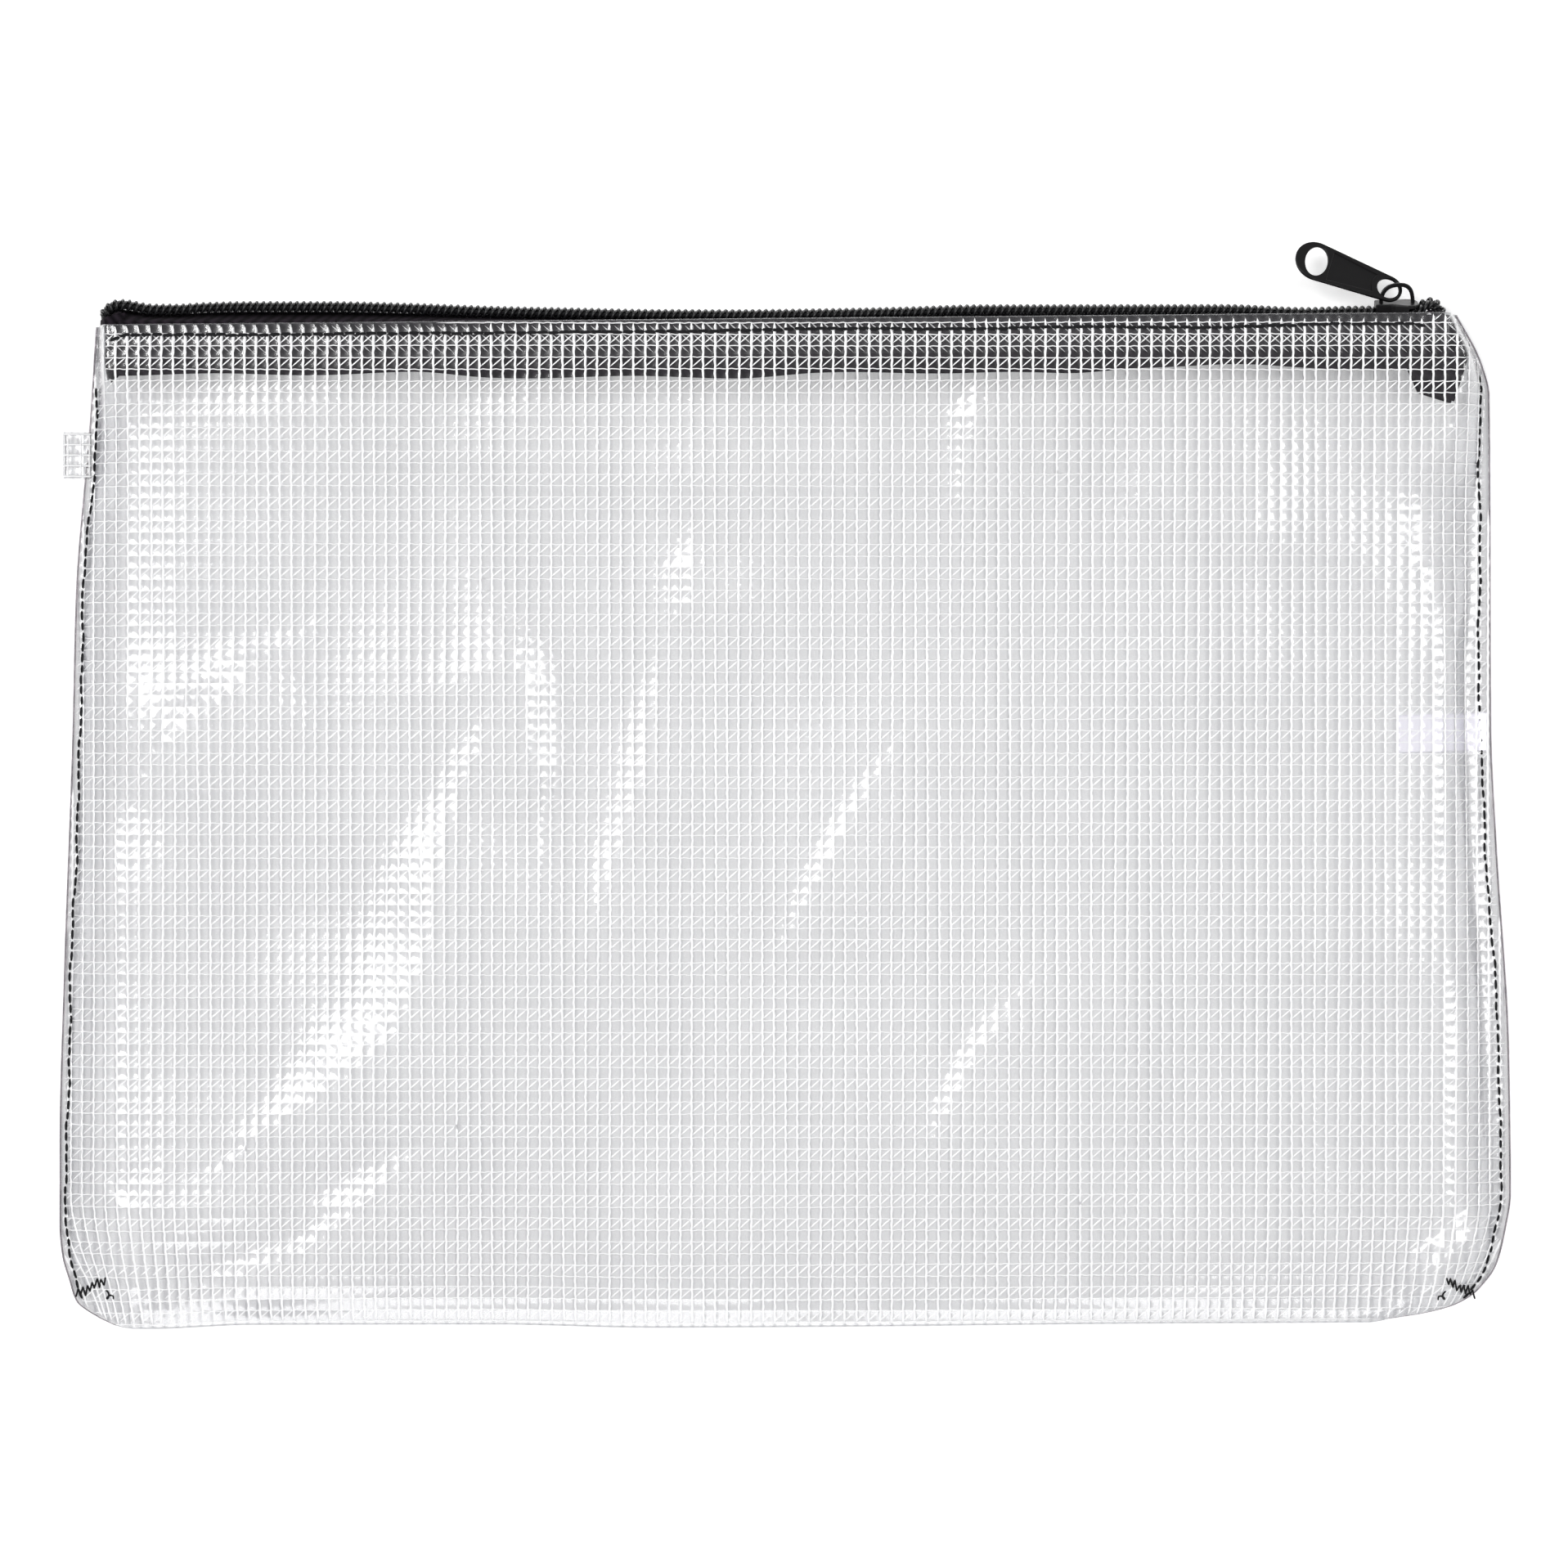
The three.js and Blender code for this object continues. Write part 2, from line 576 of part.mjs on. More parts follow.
function slider() {
  const past = 2;
  const face = PLATE_TOP + SLIDER_PLATE;
  const back = PLATE_BOTTOM - SLIDER_PLATE;
  const far = SLIDER_WIDEST + past;
  const beyond = SLIDER_HALF + past;
  const block = toSolid(extrude(plateOutline(), back, face, PLATE_BEVEL));
  const inside = CHANNEL_STEPS.map((t) => [t, channelHalf(t)]);
  const mouth = SHOULDER + 0.5;
  const channel = withDiamond([[-beyond, inside[0][1]], ...inside, [mouth, far], [beyond, far]]);
  const slot = withDiamond([[-beyond, far], [beyond, far]]);
  const tapeTop = TAPE_N + TAPE / 2 + GAP;
  const tapeBottom = TAPE_N - TAPE / 2 - GAP;
  const hollow = toSolid(extrude(channel, PLATE_BOTTOM, PLATE_TOP, 0));
  const gap = toSolid(extrude(slot, tapeBottom, tapeTop, 0));
  const mounted = block.subtract(hollow).subtract(gap).add(arch());
  return fromSolid(mounted).applyMatrix4(SLIDER_PLACE);
}

// The pull tab lies along +X from its ring end; its own origin is the bar that hangs in the arch
const RING_BAR = (TAB_NARROW - RING_HOLE) / 2;
const RING_AT = RING_HOLE / 2 + RING_BAR / 2;

// Outline around two round ends, drawn in by an inset
function tabOutline(inset) {
  const small = TAB_NARROW / 2 - inset;
  const large = TAB_WIDE / 2 - inset;
  const far = RING_AT + TAB_CENTRES;
  const lean = Math.asin((large - small) / TAB_CENTRES);
  const shape = new THREE.Shape();
  shape.absarc(RING_AT, 0, small, Math.PI / 2 + lean, -Math.PI / 2 - lean, false);
  shape.absarc(far, 0, large, -Math.PI / 2 - lean, Math.PI / 2 + lean, false);
  return shape;
}

// The sunk web between the two holes
function webOutline() {
  const near = RING_AT + RING_HOLE / 2 + TAB_RIM;
  const far = RING_AT + TAB_CENTRES - EYE_LENGTH / 2 - TAB_RIM * 0.6;
  const slope = (TAB_WIDE - TAB_NARROW) / 2 / TAB_CENTRES;
  const half = (x) => TAB_NARROW / 2 - TAB_RIM + slope * (x - RING_AT);
  return mirrored([[near, half(near)], [far, half(far)]]);
}

function pullTab() {
  const half = TAB_THICK / 2;
  const outline = tabOutline(0);
  const ring = new THREE.Path();
  ring.absarc(RING_AT, 0, RING_HOLE / 2, 0, 2 * Math.PI, true);
  const eye = new THREE.Path();
  eye.absellipse(RING_AT + TAB_CENTRES, 0, EYE_LENGTH / 2, EYE_WIDTH / 2, 0, 2 * Math.PI, true);
  outline.holes.push(ring, eye);
  const plate = toSolid(extrude(outline, -half, half, TAB_BEVEL));
  const upper = toSolid(extrude(webOutline(), half - TAB_RECESS, TAB_THICK, 0));
  const lower = toSolid(extrude(webOutline(), -TAB_THICK, -half + TAB_RECESS, 0));
  return fromSolid(plate.subtract(upper).subtract(lower)).applyMatrix4(tabPlace());
}

// The tab hangs in the arch, lifted off the chain and twisted so that its face shows from above
const ARCH_CENTRE_N = PLATE_TOP + SLIDER_PLATE + (ARCH_HEIGHT - ARCH_BAR) / 2 + TAB_RIDE;
function tabPlace() {
  const lift = TAB_LIFT * RADIANS;
  const twist = TAB_TWIST * RADIANS;
  const long = new THREE.Vector3(-Math.cos(lift), 0, 0).addScaledVector(OUTWARD, Math.sin(lift));
  const plain = new THREE.Vector3(Math.sin(lift), 0, 0).addScaledVector(OUTWARD, Math.cos(lift));
  const face = plain.multiplyScalar(Math.cos(twist)).addScaledVector(ACROSS, Math.sin(twist));
  const cross = new THREE.Vector3().crossVectors(face, long);
  const pivot = onChain(SLIDER_X + TAB_FORWARD, 0, ARCH_CENTRE_N);
  return new THREE.Matrix4().makeTranslation(pivot).multiply(new THREE.Matrix4().makeBasis(long, cross, face));
}

// A sewing thread laid along a line of points, with a square section on edge
function thread(points) {
  const half = THREAD / 2;
  const loops = points.map((p, k) => {
    const before = points[Math.max(0, k - 1)];
    const after = points[Math.min(points.length - 1, k + 1)];
    const aside = new THREE.Vector3(after.y - before.y, before.x - after.x, 0).normalize().multiplyScalar(half);
    return [p.clone().add(aside), p.clone().setZ(p.z + half), p.clone().sub(aside), p.clone().setZ(p.z - half)];
  });
  const square = [[0, 0], [1, 0], [1, 1], [0, 1]].map(([a, b]) => new THREE.Vector2(a, b));
  return loft(loops, square);
}

// The seam that holds the front hem to the front tape
function topStitch() {
  const at = 1 - STITCH_INSET / BAG_DEPTH;
  const steps = 12;
  const points = [];
  for (let k = 0; k <= steps; k += 1) {
    const x = THREE.MathUtils.lerp(CHAIN_LEFT - STITCH_END, CHAIN_RIGHT + STITCH_END / 2, k / steps);
    points.push(new THREE.Vector3(x, sheetY(x, at), frontZ(x, at) + GAP + THREAD / 2));
  }
  return thread(points);
}

// On the back, the thread shows on the inner face of the tape
function backTopStitch() {
  const at = 1 - 2 * STITCH_INSET / BAG_DEPTH;
  const level = tapeLine(-1).at(-1)[1] + TAPE / 2 + GAP + THREAD / 2;
  const steps = 6;
  const points = [];
  for (let k = 0; k <= steps; k += 1) {
    const x = THREE.MathUtils.lerp(CHAIN_LEFT + BACK_STITCH_END, CHAIN_RIGHT - BACK_STITCH_END, k / steps);
    points.push(new THREE.Vector3(x, sheetY(x, at), level));
  }
  return thread(points);
}

// The side seams, sewn just outside the pocket on the flat edge strip
function sideStitch(side) {
  const points = ROWS.filter((at) => at > 0.02).map((at) => {
    const edge = side < 0 ? leftEdge(at) : rightEdge(at);
    const x = edge - side * between(EDGE_STRIP, at) * SEAM_SHARE;
    return new THREE.Vector3(x, sheetY(x, at), stripHeight(at) + GAP + THREAD / 2);
  });
  return thread(points);
}

// Zigzag tack that closes each boxed corner
function cornerTack(side) {
  const edge = side < 0 ? leftEdge(TACK_PLACE) : rightEdge(TACK_PLACE);
  const start = between(EDGE_STRIP, TACK_PLACE) + TACK_INSET;
  const steps = 8;
  const step = TACK_LENGTH / steps;
  const points = [];
  for (let k = 0; k <= steps; k += 1) {
    const x = edge - side * (start + step * k);
    const sway = k % 2 ? TACK_ZIGZAG : -TACK_ZIGZAG;
    const row = TACK_PLACE + (sway + (TACK_SLANT * k) / steps) / BAG_DEPTH;
    const peak = Math.max(frontZ(x - step, row), frontZ(x, row), frontZ(x + step, row));
    points.push(new THREE.Vector3(x, sheetY(x, row), peak + GAP + THREAD));
  }
  return thread(points);
}

// A short strip of the same sheet, folded in two and sewn into the left seam
const LOOP_Y = FOLD_Y + LOOP_PLACE * BAG_DEPTH;
const LOOP_X = leftEdge(LOOP_PLACE);
function sideLoop() {
  const rootTop = 2 * (LOOP_STRIP + LOOP_LIFT);
  const root = LOOP_X + NOTCH - GAP;
  const inside = LOOP_OPENING / 2;
  const radius = inside + LOOP_STRIP;
  const bend = LOOP_X - LOOP_REACH + radius;
  const middle = radius + LOOP_LIFT;
  const outer = [[root, LOOP_LIFT], [root, rootTop], [LOOP_X - LOOP_ROOT * 0.6, rootTop]];
  const inner = [];
  const steps = 6;
  for (let k = 0; k <= steps; k += 1) {
    const turn = Math.PI / 2 + (k * Math.PI) / steps;
    outer.push([bend + radius * Math.cos(turn), middle + radius * Math.sin(turn)]);
    inner.push([bend + inside * Math.cos(turn), middle + inside * Math.sin(turn)]);
  }
  inner.push([LOOP_X - LOOP_ROOT, LOOP_LIFT + LOOP_STRIP]);
  inner.push([LOOP_X - LOOP_ROOT, rootTop - LOOP_STRIP + LOOP_LIFT / 2]);
  const shape = new THREE.Shape(outer.map(([x, z]) => new THREE.Vector2(x, z)));
  shape.holes.push(new THREE.Path(inner.map(([x, z]) => new THREE.Vector2(x, z))));
  const strip = extrude(shape, -LOOP_LENGTH / 2, LOOP_LENGTH / 2, 0);
  return strip.rotateX(Math.PI / 2).translate(0, LOOP_Y, 0);
}

function loopNotch() {
  const box = new THREE.BoxGeometry(2 * NOTCH, LOOP_LENGTH + 2 * GAP, 2 * MOUTH_HEIGHT);
  return toSolid(box.translate(LOOP_X, LOOP_Y, 0));
}

// Blank satin label, sewn into the right seam and lying inside the bag
function label() {
  const right = rightEdge(LABEL_PLACE) - between(EDGE_STRIP, LABEL_PLACE) - SHEET - LABEL_INSET;
  const box = new THREE.BoxGeometry(LABEL_LENGTH, LABEL_WIDTH, LABEL_THICK);
  const z = SHEET + GAP + LABEL_THICK / 2;
  return box.translate(right - LABEL_LENGTH / 2, FOLD_Y + LABEL_PLACE * BAG_DEPTH, z);
}

add('body_sheet', fromSolid(toSolid(bodySheet()).subtract(loopNotch())), MESH_VINYL);
add('front_zip_tape', tape(1), BLACK_WOVEN);
add('back_zip_tape', tape(-1), BLACK_WOVEN);
add('front_coil', coil(1, 0), BLACK_NYLON);
add('back_coil', coil(-1, 0.5), BLACK_NYLON);
add('front_coil_cord', coilCord(1), BLACK_THREAD);
add('back_coil_cord', coilCord(-1), BLACK_THREAD);
add('slider_body', slider(), BLACK_METAL);
add('pull_tab', pullTab(), BLACK_METAL);
add('side_loop', sideLoop(), MESH_VINYL);
add('label', label(), WHITE_SATIN);
add('front_top_stitch', topStitch(), BLACK_THREAD);
add('back_top_stitch', backTopStitch(), BLACK_THREAD);
add('left_side_stitch', sideStitch(-1), BLACK_THREAD);
add('right_side_stitch', sideStitch(1), BLACK_THREAD);
add('left_corner_tack', cornerTack(-1), BLACK_THREAD);
add('right_corner_tack', cornerTack(1), BLACK_THREAD);

// Origin under the middle of the whole part
const reach = new THREE.Box3().setFromObject(bag);
const middle = reach.getCenter(new THREE.Vector3());
bag.position.set(-middle.x, -middle.y, -reach.min.z);

export default bag;
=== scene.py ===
import json
import math

import bpy
import numpy as np
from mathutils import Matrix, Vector


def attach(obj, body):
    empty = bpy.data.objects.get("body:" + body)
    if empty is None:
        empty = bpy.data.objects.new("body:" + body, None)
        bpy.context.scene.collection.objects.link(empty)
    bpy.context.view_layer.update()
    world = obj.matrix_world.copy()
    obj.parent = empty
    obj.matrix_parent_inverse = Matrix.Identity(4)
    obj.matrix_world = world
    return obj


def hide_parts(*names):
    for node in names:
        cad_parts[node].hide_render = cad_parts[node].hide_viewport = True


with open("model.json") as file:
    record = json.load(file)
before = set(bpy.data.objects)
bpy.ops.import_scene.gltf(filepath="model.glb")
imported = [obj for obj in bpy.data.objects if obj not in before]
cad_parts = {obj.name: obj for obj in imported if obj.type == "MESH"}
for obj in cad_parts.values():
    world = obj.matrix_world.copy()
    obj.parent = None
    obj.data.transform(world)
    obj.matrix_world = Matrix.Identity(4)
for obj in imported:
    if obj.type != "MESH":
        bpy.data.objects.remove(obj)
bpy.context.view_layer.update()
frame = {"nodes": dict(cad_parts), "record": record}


# ---------------------------------------------------------------------------
# The stand: the bag is looked at from straight above, lying on a white sheet.
# Soft lamps stand at the upper left, at the right and at the foot of the table,
# and the white room around gives the rest of the light.
# ---------------------------------------------------------------------------

def paint(code):
    """The linear colour of an sRGB hex value."""
    parts = [int(code[k:k + 2], 16) / 255 for k in (1, 3, 5)]
    return tuple(p / 12.92 if p <= 0.04045 else ((p + 0.055) / 1.055) ** 2.4 for p in parts) + (1.0,)


def add(tree, kind, settings=None, feeds=None):
    """Adds a node with its settings; feeds are values for its sockets, or sockets that it is linked from."""
    made = tree.nodes.new(kind)
    for name, value in (settings or {}).items():
        setattr(made, name, value)
    for name, value in (feeds or {}).items():
        if isinstance(value, bpy.types.NodeSocket):
            tree.links.new(value, made.inputs[name])
        else:
            made.inputs[name].default_value = value
    return made


def new_material(name):
    """An empty material, with its node tree and its output's surface socket."""
    material = bpy.data.materials.new(name)
    material.use_nodes = True
    material.node_tree.nodes.clear()
    output = material.node_tree.nodes.new("ShaderNodeOutputMaterial")
    return material, material.node_tree, output.inputs["Surface"]


scene = bpy.context.scene
scene.view_settings.view_transform = "Standard"

LENS = 200
SENSOR = 36
VIEW_WIDTH = 0.36724
VIEW_CENTRE = (-0.00034, 0.00047)
CHAIN_LEVEL = 0.0075

eye = bpy.data.cameras.new("viewing_eye")
eye.type = "PERSP"
eye.lens = LENS
eye.sensor_width = SENSOR
viewer = bpy.data.objects.new("viewer", eye)
viewer.location = (*VIEW_CENTRE, CHAIN_LEVEL + VIEW_WIDTH * LENS / SENSOR)
scene.collection.objects.link(viewer)
scene.camera = viewer


def soft_lamp(name, bearing, tilt, distance, size, radiance):
    """A square soft lamp aimed at the bag; bearing runs from +X, tilt from straight above, both in degrees."""
    light = bpy.data.lights.new(name, "AREA")
    light.shape = "SQUARE"
    light.size = size
    light.energy = radiance * math.pi * size * size
    lamp = bpy.data.objects.new(name, light)
    turn, lean = math.radians(bearing), math.radians(tilt)
    way = Vector((math.cos(turn) * math.sin(lean), math.sin(turn) * math.sin(lean), math.cos(lean)))
    lamp.location = way * distance
    lamp.rotation_euler = way.to_track_quat("Z", "Y").to_euler()
    scene.collection.objects.link(lamp)


soft_lamp("window_lamp", 150, 30, 3.0, 1.1, 10.9)
soft_lamp("fill_lamp", 11, 33, 3.0, 0.95, 8.0)
soft_lamp("foot_lamp", 266, 62, 3.0, 1.5, 3.6)

# The room: white walls all round and a darker ceiling over the camera; looked at straight, it is white
room = bpy.data.worlds.new("white_room")
room.use_nodes = True
tree = room.node_tree
around = add(tree, "ShaderNodeTexCoord")
height = add(tree, "ShaderNodeSeparateXYZ", feeds={0: around.outputs["Generated"]})
walls = add(tree, "ShaderNodeMapRange", {"interpolation_type": "SMOOTHSTEP"},
            {"Value": height.outputs["Z"], "From Min": 0.5, "From Max": 1.0, "To Min": 0.52, "To Max": 0.05})
ray = add(tree, "ShaderNodeLightPath")
bright = add(tree, "ShaderNodeMath", {"operation": "MAXIMUM"}, {0: walls.outputs[0], 1: ray.outputs["Is Camera Ray"]})
tree.nodes["Background"].inputs["Color"].default_value = (1, 1, 1, 1)
tree.links.new(bright.outputs[0], tree.nodes["Background"].inputs["Strength"])
scene.world = room

# Sheet of white paper; what looks straight at it sees it as lit from behind
paper, tree, surface = new_material("white_paper")
lying = add(tree, "ShaderNodeBsdfDiffuse", feeds={"Color": paint("#F8F8F8"), "Roughness": 0.0})
glow = add(tree, "ShaderNodeEmission", feeds={"Color": (1, 1, 1, 1), "Strength": 0.44})
both = add(tree, "ShaderNodeAddShader", feeds={0: lying.outputs[0], 1: glow.outputs[0]})
ray = add(tree, "ShaderNodeLightPath")
seen = add(tree, "ShaderNodeMath", {"operation": "MAXIMUM"},
           {0: ray.outputs["Is Camera Ray"], 1: ray.outputs["Is Glossy Ray"]})
looked_at = add(tree, "ShaderNodeMath", {"operation": "MAXIMUM"},
                {0: seen.outputs[0], 1: ray.outputs["Is Transmission Ray"]})
shown = add(tree, "ShaderNodeMixShader",
            feeds={0: looked_at.outputs[0], 1: lying.outputs[0], 2: both.outputs[0]})
tree.links.new(shown.outputs[0], surface)

FLOOR_HALF = 3.0
ground = bpy.data.meshes.new("paper_sheet")
ground.from_pydata([(-FLOOR_HALF, -FLOOR_HALF, 0), (FLOOR_HALF, -FLOOR_HALF, 0),
                    (FLOOR_HALF, FLOOR_HALF, 0), (-FLOOR_HALF, FLOOR_HALF, 0)], [], [(0, 1, 2, 3)])
ground.materials.append(paper)
floor = bpy.data.objects.new("paper_sheet", ground)
scene.collection.objects.link(floor)


# ---------------------------------------------------------------------------
# The bag: one piece of clear vinyl film, folded along the bottom, with its side
# edges laid together and both mouth edges turned in as hems. The film is soft,
# so it swells between its seams and keeps the creases it was packed with.
# Lengths are in millimetres, from the middle of the bag, until a mesh is made.
# ---------------------------------------------------------------------------

TO_FRAME = np.array([0.14117, -8.72778, 0.0])

BAG_WIDTH = 341.4
BAG_DEPTH = 236.0
FOLD_Y = -BAG_DEPTH / 2
MOUTH_SLANT = 3.1
FOLD_HEIGHT = 1.7
MOUTH_HEIGHT = 14.166
HEM_DEPTH = 8.4
HEM_GAP = 0.7
BACK_LEVEL = 0.06
SHOULDER_WIDTH = 11.0
LEFT_SHOULDER = 0.3
RIGHT_SHOULDER = [[0, 0.08], [0.64, 0.08], [0.7, 0.4], [0.8, 0.4], [0.88, 0.08], [1, 0.08]]

# Shares of the depth from the fold to the mouth, with millimetres or shares of the rise
LEFT_DRAW_IN = [[0, 15], [0.012, 8.8], [0.027, 3.9], [0.0466, 2.3], [0.072, 0.6], [0.1, 0], [0.18, 0],
                [0.35, 1], [0.59, 3], [0.73, 3.8], [0.9, 7.0], [1, 8.6]]
RIGHT_DRAW_IN = [[0, 33], [0.0045, 28], [0.0077, 22.5], [0.0165, 14.2], [0.027, 9.6], [0.0362, 7.3],
                 [0.057, 3.9], [0.092, 1.7], [0.13, 0.4], [0.27, 0.8], [0.48, 3.8], [0.59, 5], [0.92, 5.4], [0.95, 7.1], [1, 13.2]]
CROWN = [[0, 0], [0.012, 0.13], [0.03, 0.25], [0.06, 0.37], [0.13, 0.53], [0.27, 0.65],
         [0.5, 0.71], [0.8, 0.82], [0.93, 0.97], [0.96, 1], [1, 1]]
SWELL = [[0, 12], [0.03, 13], [0.1, 14], [0.3, 15], [0.6, 13], [0.85, 11], [0.93, 6], [0.96, 3.2], [1, 2.8]]
RIGHT_SWELL = [[0, 12], [0.03, 13], [0.1, 12], [0.3, 10], [0.55, 8], [0.66, 7], [0.69, 7.5], [0.73, 10.5], [0.79, 20],
               [0.82, 20], [0.88, 10], [0.93, 6], [0.96, 3.2], [1, 2.8]]
# Beside the right seam the film first rises as a flat facet: shares of the depth, width in millimetres
RIGHT_FACET = [[0, 0], [0.07, 0], [0.14, 3.2], [0.3, 4], [0.5, 4], [0.66, 4], [0.73, 3], [0.79, 3], [0.87, 0], [1, 0]]
FACET_SLOPE = 0.3
# The fold sags a little between its ends: places across the bag, and how far it lies from straight
FOLD_BOW = [[-171, -0.9], [-150, -0.9], [-125, 0.1], [-69, 0.2], [-31, -0.6], [7, -0.4], [46, 0], [84, 0.4],
            [122, 0.6], [171, 0.9]]
EDGE_STRIP = [[0, 0.6], [0.05, 2], [0.85, 2.3], [0.93, 1.6], [1, 0.8]]


def fair(table, at):
    """A smooth curve through a table that never overshoots it."""
    place, value = np.array(table, float).T
    step = np.diff(place)
    rise = np.diff(value) / step
    slope = np.zeros(len(place))
    for k in range(1, len(place) - 1):
        if rise[k - 1] * rise[k] > 0:
            before, after = 2 * step[k] + step[k - 1], step[k] + 2 * step[k - 1]
            slope[k] = (before + after) / (before / rise[k - 1] + after / rise[k])
    slope[0], slope[-1] = rise[0], rise[-1]
    at = np.clip(np.asarray(at, float), place[0], place[-1])
    k = np.clip(np.searchsorted(place, at, "right") - 1, 0, len(step) - 1)
    t = (at - place[k]) / step[k]
    return ((2 * t**3 - 3 * t**2 + 1) * value[k] + (t**3 - 2 * t**2 + t) * step[k] * slope[k]
            + (3 * t**2 - 2 * t**3) * value[k + 1] + (t**3 - t**2) * step[k] * slope[k + 1])


def ease(start, end, at):
    """Rises smoothly from 0 at start to 1 at end."""
    t = np.clip((np.asarray(at, float) - start) / (end - start), 0, 1)
    return t * t * (3 - 2 * t)


def mouth_y(x):
    return BAG_DEPTH / 2 + MOUTH_SLANT * np.asarray(x, float) / BAG_WIDTH


def share_up(x, y):
    """How far up the bag a point is: 0 at the fold, 1 at the mouth."""
    return np.clip((y - FOLD_Y) / (mouth_y(x) - FOLD_Y), 0, 1)


def sagged(x, y):
    """Places up the bag once the fold's sag is added; it fades out a few centimetres above the fold."""
    return y + fair(FOLD_BOW, x) * (1 - share_up(x, y)) ** 12


def left_edge(at):
    return -BAG_WIDTH / 2 + fair(LEFT_DRAW_IN, at)


def right_edge(at):
    return BAG_WIDTH / 2 - fair(RIGHT_DRAW_IN, at)


# Creases of the front: points along the crest, half width of its steep upper side, height
CREASES = [
    ([(-116, 42), (-134, 26), (-151, 12)], 5.0, 2.2),
    ([(-150, 36), (-147, 0)], 4.0, 1.0),
    ([(-58, -2), (-60.5, 14), (-62, 32), (-69, 52)], 4.2, 1.9),
    ([(-73.6, 14.7), (-79.3, -10.3), (-83.5, -31.3), (-90.2, -50.5), (-105.6, -62.9), (-124, -74.4)], 7.0, 3.3),
    ([(29.1, 22), (13.8, -2.4), (-3, -35)], 2.0, 0.72),
    ([(57, -38.5), (44.3, -55.8), (33, -80)], 2.4, 0.85),
    ([(-28, 44), (-33, 10), (-46, -30)], 3.0, 0.7),
    ([(-22, 66), (-20, 44)], 3.2, 1.1),
    ([(45, 105), (43, 66)], 3.2, 1.1),
    ([(-80, -74), (-112, -103), (-142, -113)], 5.0, 2.6),
    ([(75, -90), (110, -97), (140, -94)], 7.0, 1.5),
    ([(-88, 88), (-40, 84), (6, 80)], 6.0, 1.5),
    ([(72, 80), (98, 74), (121, 64)], 6.0, 1.5),
    ([(169, -89), (161, -98), (154, -103), (151.5, -109), (149, -118)], 3.4, 2.6),
    ([(153, -98), (150, -106), (147, -119)], 3.0, 1.6),
    ([(-152, -114), (-152.5, -97), (-159, -86)], 2.8, 1.5),
    ([(-160, -87), (-150, -90), (-142.5, -92), (-130, -90.5), (-118, -86)], 2.3, 1.2),
    ([(-156, -97), (-129, -96.5), (-104, -89)], 2.0, 0.9),
]
CREASE_FADE = 0.3
GENTLE = 2.6

# Long slack waves of the front: millimetres from crest to crest, heading in degrees, height, phase
SLACK = [(92, 25, 0.42, 0.3), (71, 118, 0.34, 1.9), (54, 160, 0.24, 4.0), (43, 62, 0.18, 2.2), (33, 100, 0.1, 5.1)]


def creases(x, y):
    """Height of the packing creases and the slack over the smooth front."""
    height = np.zeros(np.broadcast(x, y).shape)
    for line, half, rise in CREASES:
        line = np.array(line, float)
        spans = np.linalg.norm(np.diff(line, axis=0), axis=1)
        before = np.concatenate([[0], np.cumsum(spans)])
        nearest = np.full(height.shape, 1e9)
        along = np.zeros(height.shape)
        gentle = np.zeros(height.shape, bool)
        for k, span in enumerate(spans):
            way = (line[k + 1] - line[k]) / span
            dx, dy = x - line[k][0], y - line[k][1]
            t = np.clip(dx * way[0] + dy * way[1], 0, span)
            away = np.hypot(dx - t * way[0], dy - t * way[1])
            under = dx * way[1] - dy * way[0] < 0
            closer = away < nearest
            nearest = np.where(closer, away, nearest)
            gentle = np.where(closer, under, gentle)
            along = np.where(closer, (before[k] + t) / before[-1], along)
        fade = ease(0, CREASE_FADE, along) * ease(0, CREASE_FADE, 1 - along)
        fade = 0.2 + 0.8 * fade
        slope_half = half * (0.25 + 0.75 * fade) * np.where(gentle, GENTLE, 1)
        height += rise * fade * np.exp(-0.5 * (nearest / slope_half) ** 2)
    for length, heading, rise, phase in SLACK:
        turn = math.radians(heading)
        height += rise * np.sin(2 * math.pi * (x * math.cos(turn) + y * math.sin(turn)) / length + phase)
    return height


def front_level(x, y):
    """Height of the front film over the table."""
    at = share_up(x, y)
    strip = fair(EDGE_STRIP, at)
    seam = 0.9 + 0.8 * ease(0.955, 0.975, at)
    reach = np.minimum(x - left_edge(at), right_edge(at) - x) - strip
    swell = np.where(x < 0, fair(SWELL, at), fair(RIGHT_SWELL, at))
    facet = np.where(x < 0, 0, fair(RIGHT_FACET, at))
    share = 1 - np.clip((reach - facet) / swell, 0, 1)
    wide_share = 1 - np.clip((reach - facet) / (swell + SHOULDER_WIDTH), 0, 1)
    crown = FOLD_HEIGHT + (MOUTH_HEIGHT - FOLD_HEIGHT) * fair(CROWN, at)
    shoulder = np.where(x < 0, LEFT_SHOULDER, fair(RIGHT_SHOULDER, at)) * ease(0, 0.1, at) * ease(0, 0.07, 0.96 - at)
    rise = 1 - (1 - shoulder) * share ** (1.5 + 0.8 * ease(0.05, 0.2, at)) - shoulder * wide_share**1.5
    free = ease(0, 6, reach) * ease(0.003, 0.035, at) * ease(0, 0.05, 0.955 - at)
    foot = FACET_SLOPE * np.clip(reach, 0, facet)
    return seam + foot + (crown - seam - FACET_SLOPE * facet) * rise + free * creases(x, y) - 0.05


def back_level(x, y):
    """Height of the back film, which lies on the table in long shallow waves."""
    wave = np.sin(x / 19.0 + 0.6) * np.sin(y / 23.0 + 1.1)
    return BACK_LEVEL + 0.22 * wave**2 * ease(0, 0.06, share_up(x, y))


